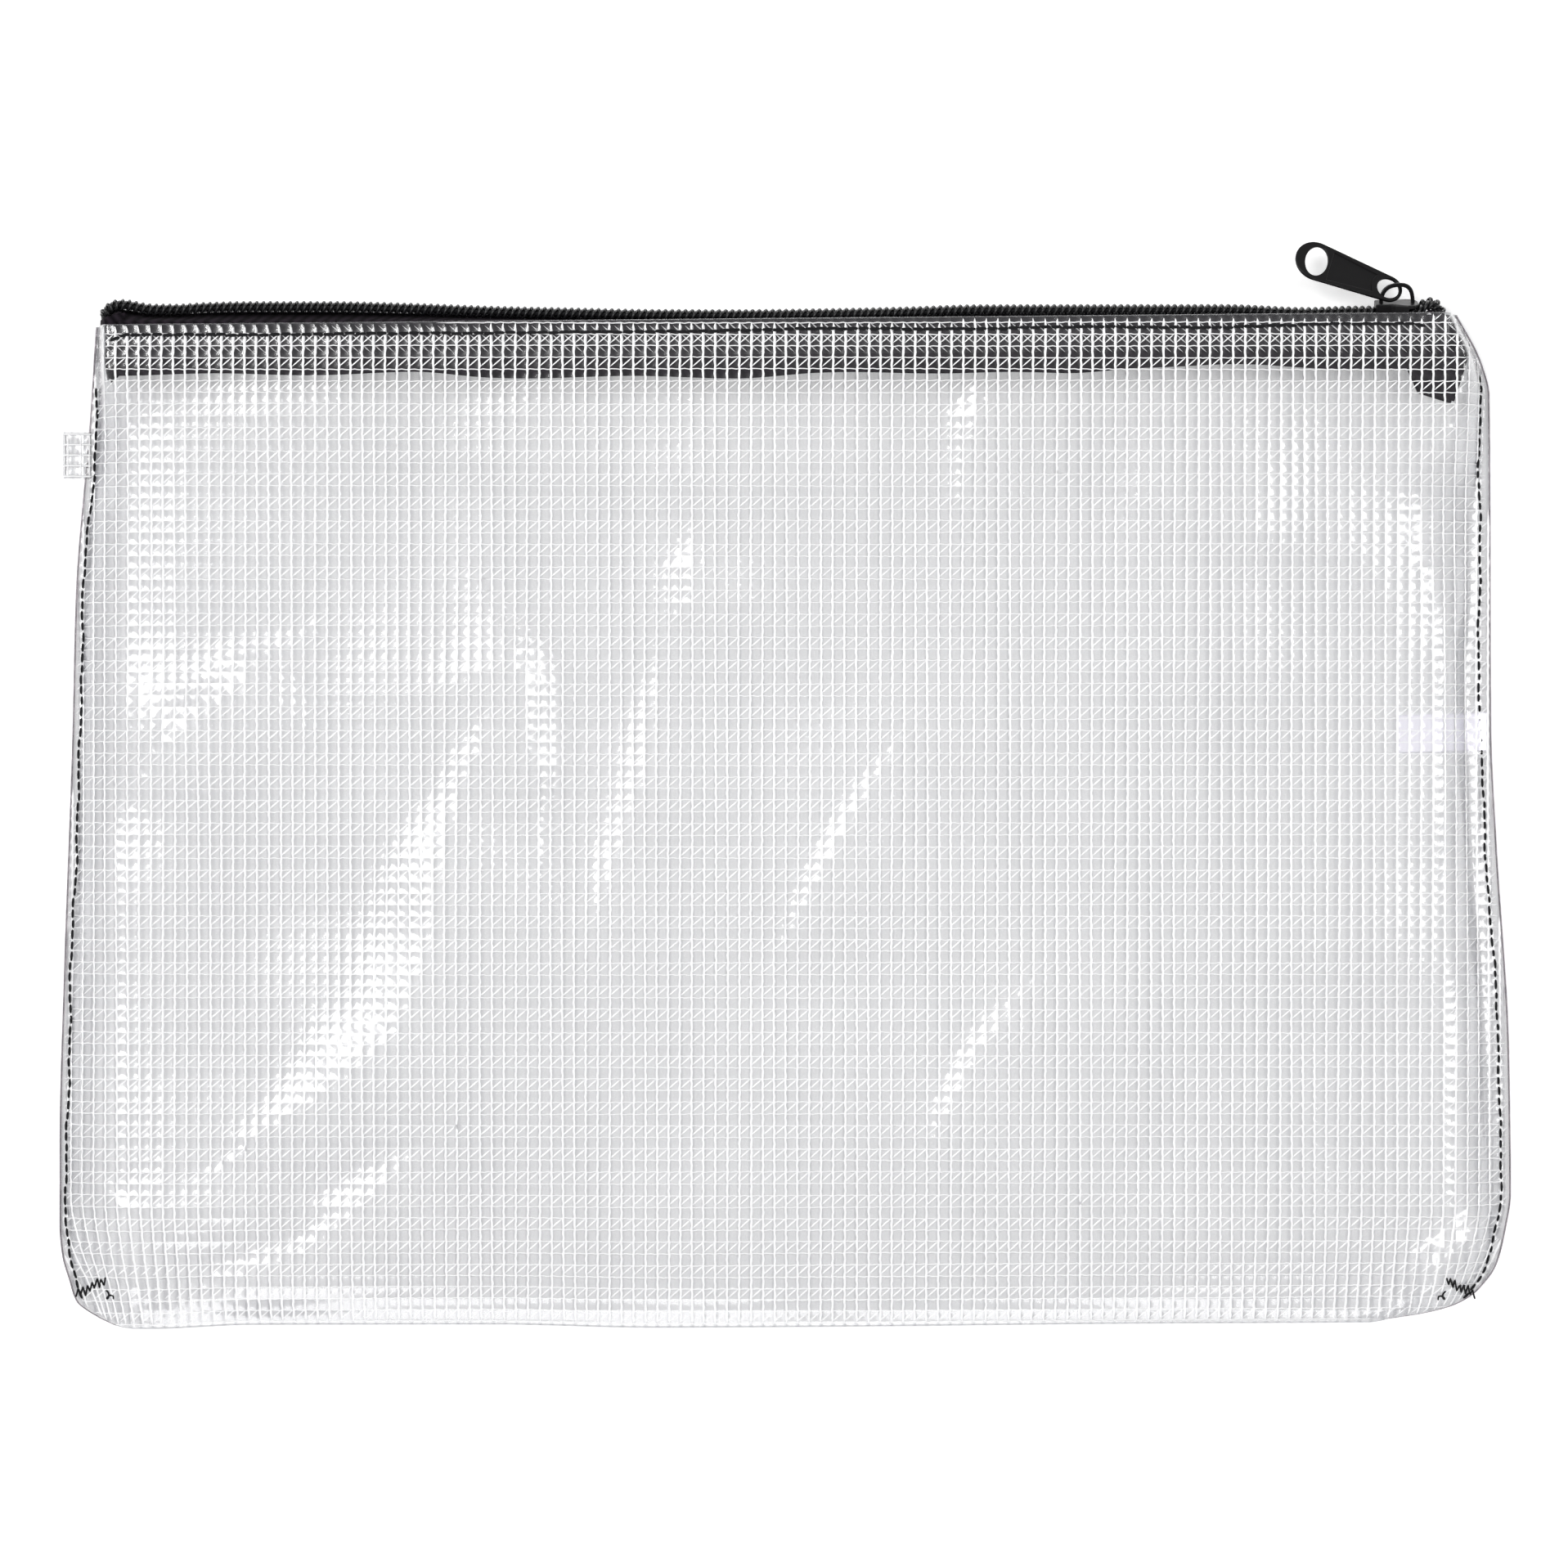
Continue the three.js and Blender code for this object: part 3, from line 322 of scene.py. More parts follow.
def make_piece(name, points, faces, material, body="bag", nodes=(), smooth=True):
    """A mesh from points in millimetres, which rides on a body and may replace CAD nodes."""
    mesh = bpy.data.meshes.new(name)
    mesh.from_pydata(((points + TO_FRAME) / 1000).tolist(), [], faces.tolist())
    mesh.materials.append(material)
    if smooth:
        mesh.shade_smooth()
    mesh.update()
    piece = bpy.data.objects.new(name, mesh)
    scene.collection.objects.link(piece)
    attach(piece, body)
    if nodes:
        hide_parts(*nodes)
    return piece


def lattice(rows, columns, closed=False):
    """Four-sided faces of a net of points, row by row; closed joins each row's end to its start."""
    row = np.arange(rows - 1)[:, None] * columns
    column = np.arange(columns if closed else columns - 1)[None, :]
    after = (column + 1) % columns
    faces = np.stack([row + column, row + after, row + columns + after, row + columns + column], -1)
    return faces.reshape(-1, 4)


def gathered(parts):
    """Several meshes as one list of points and one of faces."""
    points, faces, count = [], [], 0
    for part_points, part_faces in parts:
        points.append(part_points)
        faces.append(part_faces + count)
        count += len(part_points)
    return np.concatenate(points), np.concatenate(faces)


FILM_STEP = 1.05
FOLD_BULGE = 0.85
EDGE_CROWDING = 0.5
HEM_BEND_STEPS = 4


def film_sheet():
    """Rows of the folded sheet, from the front hem's edge inside the bag round to the back's."""
    across = np.linspace(0, 1, int(BAG_WIDTH / FILM_STEP))
    across = across - EDGE_CROWDING * np.sin(2 * math.pi * across) / (2 * math.pi)
    start = 1 - HEM_GAP / 2 / BAG_DEPTH
    first = FOLD_BULGE / BAG_DEPTH
    ups = np.linspace(first, start, int(BAG_DEPTH / FILM_STEP))

    def on(at, level):
        left, right = left_edge(at), right_edge(at)
        x = left + (right - left) * across
        y = FOLD_Y + at * (mouth_y(x) - FOLD_Y)
        return x, sagged(x, y), level(x, y)

    def hem(level, inward):
        rows = []
        x, y, z = on(start, level)
        for step in np.linspace(1, 0, 7):
            rows.append(np.stack([x, y - step * (HEM_DEPTH - HEM_GAP / 2), z + inward * HEM_GAP], -1))
        for k in range(1, HEM_BEND_STEPS):
            turn = math.pi * k / HEM_BEND_STEPS
            out = HEM_GAP / 2 * math.sin(turn)
            rows.append(np.stack([x, y + out, z + inward * HEM_GAP / 2 * (1 + math.cos(turn))], -1))
        return rows

    front = [np.stack(on(at, front_level), -1) for at in ups[::-1]]
    back = [np.stack(on(at, back_level), -1) for at in ups]
    bend = []
    top, bottom = front[-1], back[0]
    for k in range(1, 7):
        turn = math.pi * k / 7
        middle = (top + bottom) / 2
        half = (top[:, 2] - bottom[:, 2]) / 2
        from_end = np.minimum(middle[:, 0] - middle[0, 0], middle[-1, 0] - middle[:, 0])
        bulge = FOLD_BULGE * (1 - (1 - np.clip(from_end / 5, 0, 1)) ** 2)
        bend.append(np.stack([middle[:, 0], middle[:, 1] - bulge * math.sin(turn),
                              middle[:, 2] + half * math.cos(turn)], -1))
    rows = hem(front_level, -1) + front + bend + back + hem(back_level, 1)[::-1]
    return np.array(rows)


# Clear plasticised vinyl film, calendered and pressed onto a net: it passes most light, less of it on
# a slant, is a little milky, shines like lacquer with a softer shine round it, and dips between the yarns.
VINYL_IOR = 1.58
YARN_PITCH = 2.75
ROW_PITCH = 2.72
vinyl, tree, surface = new_material("clear_vinyl_film")
spot = add(tree, "ShaderNodeTexCoord")
apart = add(tree, "ShaderNodeSeparateXYZ", feeds={0: spot.outputs["Object"]})
dips = []
for axis, pitch, offset in (("X", YARN_PITCH, TO_FRAME[0]), ("Y", ROW_PITCH, TO_FRAME[1])):
    turned = add(tree, "ShaderNodeMath", {"operation": "MULTIPLY_ADD"},
                 {0: apart.outputs[axis], 1: math.pi * 1000 / pitch, 2: -math.pi * offset / pitch})
    wave = add(tree, "ShaderNodeMath", {"operation": "SINE"}, {0: turned.outputs[0]})
    dips.append(add(tree, "ShaderNodeMath", {"operation": "ABSOLUTE"}, {0: wave.outputs[0]}))
dip = add(tree, "ShaderNodeMath", {"operation": "MULTIPLY"}, {0: dips[0].outputs[0], 1: dips[1].outputs[0]})
uneven = add(tree, "ShaderNodeTexNoise", feeds={"Vector": spot.outputs["Object"], "Scale": 1000.0, "Detail": 3.0})
cells = add(tree, "ShaderNodeBump", {"invert": True},
            {"Strength": 1.0, "Distance": 0.00012, "Height": dip.outputs[0]})
skin = add(tree, "ShaderNodeBump",
           feeds={"Strength": 0.5, "Distance": 0.00004, "Height": uneven.outputs["Fac"], "Normal": cells.outputs[0]})
slant = add(tree, "ShaderNodeLayerWeight", feeds={"Blend": 0.5})
# Beside each upright yarn the film's tint is made a little darker: painted shade of the yarn
painted_yarn_shade = add(tree, "ShaderNodeMapRange",
               feeds={"Value": dips[0].outputs[0], "From Min": 0.2, "From Max": 0.75, "To Min": 0.17, "To Max": 0.0})
# The film's tint darkens with the slant, and with the painted yarn shade beside the yarns
thick = add(tree, "ShaderNodeMath", {"operation": "ADD"}, {0: slant.outputs["Facing"], 1: painted_yarn_shade.outputs[0]})
depth = add(tree, "ShaderNodeMix", {"data_type": "RGBA"}, {0: thick.outputs[0]})
depth.inputs[6].default_value = paint("#F4F4F4")
depth.inputs[7].default_value = paint("#A8A9AE")
clear = add(tree, "ShaderNodeBsdfTransparent", feeds={"Color": depth.outputs[2]})
milk = add(tree, "ShaderNodeBsdfDiffuse", feeds={"Color": paint("#E4DFF2")})
sheer = add(tree, "ShaderNodeMixShader", feeds={0: 0.012, 1: clear.outputs[0], 2: milk.outputs[0]})
rub = add(tree, "ShaderNodeMapRange", feeds={"Value": uneven.outputs["Fac"], "To Min": 0.09, "To Max": 0.19})
polish = add(tree, "ShaderNodeBsdfGlossy",
             feeds={"Color": (1, 1, 1, 1), "Roughness": rub.outputs[0], "Normal": skin.outputs[0]})
bloom = add(tree, "ShaderNodeBsdfGlossy", feeds={"Color": (1, 1, 1, 1), "Roughness": 0.36, "Normal": skin.outputs[0]})
gloss = add(tree, "ShaderNodeMixShader", feeds={0: 0.3, 1: polish.outputs[0], 2: bloom.outputs[0]})
face = add(tree, "ShaderNodeNewGeometry")
# The film is thinner than its own bend of light, so both of its faces glance alike
both_faces = add(tree, "ShaderNodeMath", {"operation": "MULTIPLY_ADD"},
                 {0: face.outputs["Backfacing"], 1: 1 / VINYL_IOR - VINYL_IOR, 2: VINYL_IOR})
glance = add(tree, "ShaderNodeFresnel", feeds={"IOR": both_faces.outputs[0], "Normal": skin.outputs[0]})
# What the lower face throws back adds to the upper face's share: 2 F / (1 + F)
one_more = add(tree, "ShaderNodeMath", {"operation": "ADD"}, {0: glance.outputs[0], 1: 1.0})
twofold = add(tree, "ShaderNodeMath", {"operation": "DIVIDE"}, {0: glance.outputs[0], 1: one_more.outputs[0]})
thrown_back = add(tree, "ShaderNodeMath", {"operation": "MULTIPLY"}, {0: twofold.outputs[0], 1: 2.0})
film_shader = add(tree, "ShaderNodeMixShader",
                  feeds={0: thrown_back.outputs[0], 1: sheer.outputs[0], 2: gloss.outputs[0]})
tree.links.new(film_shader.outputs[0], surface)

rows = film_sheet()
film = make_piece("folded_film", rows.reshape(-1, 3), lattice(rows.shape[0], rows.shape[1])[:, ::-1],
           vinyl, nodes=["body_sheet"])

# The cut edges of the film, laid together at each side: light runs inside the film and leaves there,
# so that they show as grey lines
cut_vinyl, tree, surface = new_material("cut_vinyl_edge")
spot = add(tree, "ShaderNodeTexCoord")
ragged = add(tree, "ShaderNodeTexNoise", feeds={"Vector": spot.outputs["Object"], "Scale": 260.0, "Detail": 3.0})
murk = add(tree, "ShaderNodeMix", {"data_type": "RGBA"}, {0: ragged.outputs["Fac"]})
murk.inputs[6].default_value = paint("#A9A6AB")
murk.inputs[7].default_value = paint("#F0ECEE")
seen_through = add(tree, "ShaderNodeBsdfTransparent", feeds={"Color": murk.outputs[2]})
sheared = add(tree, "ShaderNodeBsdfGlossy", feeds={"Color": (1, 1, 1, 1), "Roughness": 0.3})
edge_shader = add(tree, "ShaderNodeMixShader", feeds={0: 0.06, 1: seen_through.outputs[0], 2: sheared.outputs[0]})
tree.links.new(edge_shader.outputs[0], surface)

CUT_EDGE = 0.34
parts = []
for side, edge in ((-1, left_edge), (1, right_edge)):
    ups = np.linspace(FOLD_BULGE / BAG_DEPTH, 1 - HEM_GAP / 2 / BAG_DEPTH, 420)
    x = edge(ups)
    y = FOLD_Y + ups * (mouth_y(x) - FOLD_Y)
    top, foot = front_level(x, y), back_level(x, y)
    y = sagged(x, y)
    out = x + side * 0.02
    inner = x - side * CUT_EDGE
    rim = np.stack([np.stack([inner, y, top + 0.03], -1), np.stack([out, y, top + 0.01], -1),
                    np.stack([out, y, foot], -1), np.stack([inner, y, foot + 0.02], -1)], 1)
    parts.append((rim.reshape(-1, 3), lattice(len(ups), 4, closed=True)[:, ::side]))
points, faces = gathered(parts)
cut_edges = make_piece("film_edges", points, faces, cut_vinyl)


# ---------------------------------------------------------------------------
# The net: white polyester yarns, warp knitted, pressed into both panels. Upright
# yarns stand out, the weft between them is thinner, and a binding thread crosses
# every second row.
# ---------------------------------------------------------------------------

def tube(line, level, half_width, half_height, sides=4, lean=None):
    """A thread along a line of points: an oval section, flat side towards level."""
    line = np.asarray(line, float)
    way = np.gradient(line, axis=0)
    way /= np.linalg.norm(way, axis=1)[:, None] + 1e-12
    aside = np.cross(way, level)
    aside /= np.linalg.norm(aside, axis=1)[:, None] + 1e-12
    up = np.cross(aside, way)
    half_width = np.broadcast_to(half_width, len(line))[:, None, None]
    half_height = np.broadcast_to(half_height, len(line))[:, None, None]
    turn = 2 * math.pi * np.arange(sides) / sides
    ring = (line[:, None, :] + half_width * np.cos(turn)[None, :, None] * aside[:, None, :]
            + half_height * np.sin(turn)[None, :, None] * up[:, None, :])
    ring[0] = line[0] + (ring[0] - line[0]) * 0.05
    ring[-1] = line[-1] + (ring[-1] - line[-1]) * 0.05
    return ring.reshape(-1, 3), lattice(len(line), sides, closed=True)


YARN_HALF = 0.25
WEFT_HALF = 0.11
BINDING_HALF = 0.14
YARN_STEP = 1.0
ABOVE = np.array([0, 0, 1.0])


# How far the boxed corners draw the upright yarns in at the side edges: shares of the depth, millimetres
LEFT_FAN = [[0, 11], [0.012, 10], [0.04, 7.5], [0.08, 3], [0.13, 0], [1, 0]]
RIGHT_FAN = [[0, 16], [0.012, 13], [0.04, 8], [0.08, 3], [0.12, 0], [1, 0]]
FAN_REACH = 13


def drawn(x, y):
    """Places of the net's lines near the fold, where the boxed corners draw them in beside the edges."""
    at = share_up(x, y)
    from_left = np.exp(-np.maximum(0, x + BAG_WIDTH / 2) / FAN_REACH)
    from_right = np.exp(-np.maximum(0, BAG_WIDTH / 2 - x) / FAN_REACH)
    return x + from_left * fair(LEFT_FAN, at) - from_right * fair(RIGHT_FAN, at)


def net(level, lift, low, high, shift, lean=1, bound_rows=2, stout=1.0, spread=1.0):
    """Yarns over the part of a panel between two shares of its depth, on a surface given by level; the
    cross threads may be stouter, and the mesh spread wider."""
    lines = []
    top = BAG_DEPTH / 2 + 2

    def inside(x, y, margin):
        at = share_up(x, y)
        held = (y > FOLD_Y + low * BAG_DEPTH) & (y < FOLD_Y + high * (mouth_y(x) - FOLD_Y))
        return held & (x > left_edge(at) + margin) & (x < right_edge(at) - margin)

    def lay(x, y, half, thick, margin=0.5):
        keep = inside(x, y, margin)
        if keep.sum() > 2:
            lines.append((x[keep], y[keep], np.broadcast_to(half, x.shape)[keep], thick))

    ys = np.arange(FOLD_Y, top, YARN_STEP)
    for k in range(-63, 64):
        x = k * YARN_PITCH * spread + shift + 0.08 * np.sin(2 * math.pi * ys / ROW_PITCH + k) + 0.14 * np.sin(ys / 31 + k * 0.7)
        lay(drawn(x, ys), ys, YARN_HALF * (1 + 0.12 * np.sin(2 * math.pi * ys / ROW_PITCH + k * 0.5)), 0.05)
    xs = np.arange(-BAG_WIDTH / 2, BAG_WIDTH / 2, YARN_STEP)
    for k in range(-45, 46):
        y = k * ROW_PITCH * spread + 0.1 * np.sin(2 * math.pi * xs / YARN_PITCH + k * 2.4) + 0.1 * np.sin(xs / 37 + k)
        lay(xs, y, WEFT_HALF, 0.04)
    for k in range(-63, 63):
        for row in range(-43, 45, bound_rows):
            x = (k + np.linspace(0, 1, 4)) * YARN_PITCH * spread + shift
            y = row * ROW_PITCH * spread + 1.65 + lean * np.linspace(-1.2, 1.2, 4)
            lay(x, y, BINDING_HALF * stout, 0.04)
    ends = np.cumsum([len(x) for x, _, _, _ in lines])[:-1]
    heights = np.split(level(np.concatenate([line[0] for line in lines]),
                             np.concatenate([line[1] for line in lines])) + lift, ends)
    return gathered([tube(np.stack([x, sagged(x, y), z], -1), ABOVE, half, thick)
                     for (x, y, half, thick), z in zip(lines, heights)])


# White polyester yarn under a skin of vinyl: bright, soft edged, with the film's shine over it
yarn, tree, surface = new_material("polyester_yarn")
spot = add(tree, "ShaderNodeTexCoord")
twist = add(tree, "ShaderNodeTexNoise", feeds={"Vector": spot.outputs["Object"], "Scale": 1600.0, "Detail": 2.0})
ply = add(tree, "ShaderNodeBump", feeds={"Strength": 0.3, "Distance": 0.00004, "Height": twist.outputs["Fac"]})
tone = add(tree, "ShaderNodeMix", {"data_type": "RGBA"}, {0: twist.outputs["Fac"]})
tone.inputs[6].default_value = paint("#FAFAFC")
tone.inputs[7].default_value = paint("#FFFFFF")
cloth = add(tree, "ShaderNodeBsdfPrincipled",
            feeds={"Base Color": tone.outputs[2], "Roughness": 0.45, "IOR": 1.5, "Coat Weight": 0.7,
                   "Coat Roughness": 0.12, "Normal": ply.outputs[0]})
ray = add(tree, "ShaderNodeLightPath")
lets_through = add(tree, "ShaderNodeMath", {"operation": "MULTIPLY"}, {0: ray.outputs["Is Shadow Ray"], 1: 0.9})
passing = add(tree, "ShaderNodeBsdfTransparent", feeds={"Color": (1, 1, 1, 1)})
lit = add(tree, "ShaderNodeMixShader", feeds={0: lets_through.outputs[0], 1: cloth.outputs[0], 2: passing.outputs[0]})
tree.links.new(lit.outputs[0], surface)

FRONT_LIFT = 0.04
points, faces = net(front_level, FRONT_LIFT, 0.004, 0.9985, 0.0)
front_net = make_piece("front_net", points, faces, yarn, smooth=False)
points, faces = net(back_level, 0.02, 0.004, 0.9985, -0.1, spread=1.0065)
back_net = make_piece("back_net", points, faces, yarn, smooth=False)
HEM_SHARE = 1 - HEM_DEPTH / BAG_DEPTH
points, faces = net(lambda x, y: front_level(x, y) - HEM_GAP, 0.0, HEM_SHARE, 0.997, 0.15, lean=-1,
                    bound_rows=1, stout=1.0)
hem_net = make_piece("front_hem_net", points, faces, yarn, smooth=False)


# ---------------------------------------------------------------------------
# The chain's line: the closed zipper stands on edge in the mouth, its front half
# over its back half, and turns down into the bag at both ends.
# ---------------------------------------------------------------------------

CHAIN_ROLL = math.radians(12)
CHAIN_Y = 119.8
CHAIN_Z = 7.5175
CHAIN_LEFT = -155.9
CHAIN_RIGHT = 149.8
END_RADIUS = (4.0, 4.0)
END_TURN = (math.radians(90), math.radians(118))
SLIDER_X = 143.0
SLIDER_HALF = 5.1
PARTING = 1.4
# The chain bows a little between its ends: places along it, and how far it stands out there
BOW = [[-160, 1.7], [-155.5, 1.6], [-148, 0.5], [-143, 0.5], [-136, 0.9], [-126, 1.1], [-107, 1.1], [-88, 0.7],
       [-69, 0], [-50, -0.4], [-31, -0.75], [-12, -0.8], [7, -0.6], [27, -0.2], [46, 0.35], [103, 0.4],
       [122, -0.3], [132, 0], [147.5, 0.1], [149.5, 1.5], [152, 2.3], [155, 1.6], [160, 1.0]]


def chain_frame(s):
    """Places and axes of the chain at distances s along it; s equals x on the straight run."""
    s = np.atleast_1d(np.asarray(s, float))
    onto_left = s < CHAIN_LEFT
    side = np.where(onto_left, -1.0, 1.0)
    past = np.maximum(0, CHAIN_LEFT - s) + np.maximum(0, s - CHAIN_RIGHT)
    radius = np.where(onto_left, END_RADIUS[0], END_RADIUS[1])
    arc = np.where(onto_left, END_RADIUS[0] * END_TURN[0], END_RADIUS[1] * END_TURN[1])
    turned = np.minimum(past, arc)
    turn = -side * turned / radius
    c, d = np.cos(turn), np.sin(turn)
    zero = np.zeros(len(s))
    along = np.stack([c, d, zero], -1)
    roll_sin, roll_cos = math.sin(CHAIN_ROLL), math.cos(CHAIN_ROLL)
    across = np.stack([d * roll_sin, -c * roll_sin, zero + roll_cos], -1)
    outward = np.stack([-d * roll_cos, c * roll_cos, zero + roll_sin], -1)
    start = np.where(onto_left, CHAIN_LEFT, np.where(s > CHAIN_RIGHT, CHAIN_RIGHT, s))
    origin = np.stack([start + side * radius * np.sin(turned / radius) * (past > 0),
                       CHAIN_Y - radius * (1 - np.cos(turned / radius)), zero + CHAIN_Z], -1)
    origin = origin + along * (side * (past - turned))[:, None]
    origin[:, 1] += fair(BOW, s)
    return origin, along, across, outward


def on_chain(s, h, n):
    """Points at distance h across the chain and n out from it."""
    origin, along, across, outward = chain_frame(s)
    h, n = np.broadcast_to(h, len(origin)), np.broadcast_to(n, len(origin))
    return origin + across * h[:, None] + outward * n[:, None]


def parting(s):
    """How far the slider holds each half from the chain's centre line."""
    t = np.asarray(s, float) - SLIDER_X
    closing = ease(SLIDER_HALF, SLIDER_HALF + 4, t)
    return PARTING * ease(-1.5, 3, t) * (1 - 0.5 * closing)


# ---------------------------------------------------------------------------
# The zipper tapes: black polyester, woven in a fine twill with a thicker selvedge.
# Each stands behind its coil, bends over and lies along the inside of its hem, and
# its ends are turned down into the bag.
# ---------------------------------------------------------------------------

TAPE_HALF = 0.2
TAPE_N = -1.45
TAPE_EDGE = 1.05
BEND_START = 5.35
TAPE_BEND = 0.6
TAPE_REACH = 12.5
STRAIGHT_AT = 140.0
# The tape's free edge runs unevenly: places along the chain, and how far short of its reach it lies there
TAPE_SHORT = [[-156, 0.6], [-126, 0.6], [-88, 1.0], [-69, 0], [-12, 0], [8, 0.8], [46, 1.2], [65, 0.7], [84, 2.5],
              [103, 2.8], [122, 2.2], [150, 2.0]]
# Corners of each tape's end, folded flat in the bag's corner: upper outer, upper inner, lower inner, lower outer
FOLDED_ENDS = {"left": [(-160.8, 117.2), (-149.5, 117.0), (-154.0, 107.6), (-158.6, 103.4)],
               "right": [(160.6, 112.5), (143.5, 112.0), (148.4, 101.0), (156.2, 98.6)],
               "left_top": [(-160.9, 117.9), (-154.5, 119.4), (-154.5, 112.0), (-161.2, 112.6)],
               "right_top": [(156.8, 118.9), (149.0, 118.9), (149.0, 111.5), (160.4, 112.0)]}
TAIL_LENGTH = 12.0
TAIL_WIDTH = 3.3
ARC_LENGTHS = (END_RADIUS[0] * END_TURN[0], END_RADIUS[1] * END_TURN[1])


def slab(grid, half):
    """A closed thin sheet round a grid of points, half its thickness to each side in height."""
    count = grid.shape[0] * grid.shape[1]
    lift = np.array([0, 0, half])
    points = np.concatenate([(grid + lift).reshape(-1, 3), (grid - lift).reshape(-1, 3)])
    faces = lattice(*grid.shape[:2])
    index = np.arange(count).reshape(grid.shape[:2])
    rim = np.concatenate([index[:, 0], index[-1, 1:], index[-2::-1, -1], index[0, -2:0:-1]])
    wall = np.stack([rim, np.roll(rim, -1), np.roll(rim, -1) + count, rim + count], -1)
    return points, np.concatenate([faces, faces[:, ::-1] + count, wall])


def folded_end(corners, level):
    """The end of a tape between four corners in x and y, under a surface given by level."""
    a, b, c, d = np.array(corners, float)
    u, v = np.meshgrid(np.linspace(0, 1, 12), np.linspace(0, 1, 12), indexing="ij")
    u, v = u[..., None], v[..., None]
    place = a * (1 - u) * (1 - v) + b * u * (1 - v) + c * u * v + d * (1 - u) * v
    x, y = place[..., 0], place[..., 1]
    return slab(np.stack([x, y, level(x, y) + 0.12 * np.sin(x / 1.9) * np.sin(y / 2.3)], -1), TAPE_HALF)


def tape_half(side):
    """One tape, as a thin closed strip through stations along the chain."""
    run = np.concatenate([np.arange(CHAIN_LEFT, SLIDER_X - 3, 2.0), np.linspace(SLIDER_X - 3, CHAIN_RIGHT, 24)])
    corner = on_chain(STRAIGHT_AT, side * BEND_START, TAPE_N)[0]
    first = math.atan2(side * math.cos(CHAIN_ROLL), -side * math.sin(CHAIN_ROLL))
    middle, headings = [], []
    for heading in np.linspace(first, side * math.pi, 9):
        middle.append([corner[1] + side * TAPE_BEND * (math.sin(heading) - math.sin(first)),
                       corner[2] - side * TAPE_BEND * (math.cos(heading) - math.cos(first))])
        headings.append(heading)
    last = middle[-1]
    for reach in np.linspace(0, TAPE_REACH, 8)[1:]:
        middle.append([last[0] - reach, last[1]])
        headings.append(side * math.pi)
    middle, headings = np.array(middle), np.array(headings)
    reaches = np.clip((last[0] - middle[:, 0]) / TAPE_REACH, 0, 1)
    sections = []
    for s, apart_here in zip(run, parting(run)):
        near = on_chain(s, side * (TAPE_EDGE + apart_here), TAPE_N)[0]
        ripple = 0.06 * math.sin(s / 5.3) + 0.05 * math.sin(s / 2.9 + 1)
        placed = middle + np.stack([reaches * (fair(TAPE_SHORT, s) + 0.3 * math.sin(s / 7.7)), 0 * reaches], -1)
        line = np.concatenate([[near[1:]], placed])
        away = np.concatenate([[first], headings])
        off = side * np.stack([np.sin(away), -np.cos(away)], -1)
        share = np.clip(np.arange(len(line)) / 12, 0, 1)[:, None]
        line = line + off * ripple * share
        outer, inner = line + off * TAPE_HALF, line - off * TAPE_HALF
        loop = np.concatenate([outer, inner[::-1]])
        sections.append(np.column_stack([np.full(len(loop), s), loop]))
    sections = np.array(sections)
    parts = [(sections.reshape(-1, 3), lattice(len(run), sections.shape[1], closed=True))]
    for s_ends in ((CHAIN_LEFT - ARC_LENGTHS[0] - TAIL_LENGTH, CHAIN_LEFT + 0.5),
                   (CHAIN_RIGHT - 0.5, CHAIN_RIGHT + ARC_LENGTHS[1] + TAIL_LENGTH)):
        s = np.linspace(*s_ends, 30)
        inner, outer = side * (TAPE_EDGE + parting(s)), np.full(len(s), side * (TAPE_EDGE + TAIL_WIDTH))
        ring = np.stack([on_chain(s, inner, TAPE_N - TAPE_HALF), on_chain(s, outer, TAPE_N - TAPE_HALF),
                         on_chain(s, outer, TAPE_N + TAPE_HALF), on_chain(s, inner, TAPE_N + TAPE_HALF)], 1)
        ring[0] = ring[0].mean(0) + (ring[0] - ring[0].mean(0)) * 0.98
        parts.append((ring.reshape(-1, 3), lattice(len(s), 4, closed=True)))
    for k, corners in enumerate(FOLDED_ENDS.values()):
        parts.append(folded_end(corners, lambda x, y: np.clip(front_level(x, y) - 1.4 - 0.35 * k, 0.8 + 0.3 * k, 11.9)
                                if side > 0 else 0.6 + 0.3 * k + 0 * x))
    return gathered(parts)


# Black polyester tape, piece dyed and woven, so its black has a purple cast: matt, with a fine diagonal
# rib. Its real ribs are 0.35 mm apart and are drawn 0.7 mm apart so that they show.
tape_cloth, tree, surface = new_material("woven_polyester_tape")
spot = add(tree, "ShaderNodeTexCoord")
warp = add(tree, "ShaderNodeTexWave", {"wave_type": "BANDS", "bands_direction": "DIAGONAL"},
           {"Vector": spot.outputs["Object"], "Scale": 1000.0 / 0.7 / math.pi / 2, "Distortion": 1.5, "Detail": 1.0})
nap = add(tree, "ShaderNodeTexNoise", feeds={"Vector": spot.outputs["Object"], "Scale": 1800.0, "Detail": 3.0})
weave = add(tree, "ShaderNodeMath", {"operation": "ADD"}, {0: warp.outputs["Fac"], 1: nap.outputs["Fac"]})
ribs = add(tree, "ShaderNodeBump", feeds={"Strength": 0.8, "Distance": 0.00012, "Height": weave.outputs[0]})
# The ribs' crests are painted lighter and their grooves darker: painted light and shade of the rib
painted_rib_shade = add(tree, "ShaderNodeMix", {"data_type": "RGBA"}, {0: warp.outputs["Fac"]})
painted_rib_shade.inputs[6].default_value = paint("#0D090E")
painted_rib_shade.inputs[7].default_value = paint("#282129")
tape_shader = add(tree, "ShaderNodeBsdfPrincipled",
                  feeds={"Base Color": painted_rib_shade.outputs[2], "Roughness": 0.9, "Specular IOR Level": 0.15,
                         "Normal": ribs.outputs[0]})
tree.links.new(tape_shader.outputs[0], surface)

for side, name in ((1, "front"), (-1, "back")):
    points, faces = tape_half(side)
    make_piece(f"{name}_tape", points, faces, tape_cloth, nodes=[f"{name}_zip_tape"])


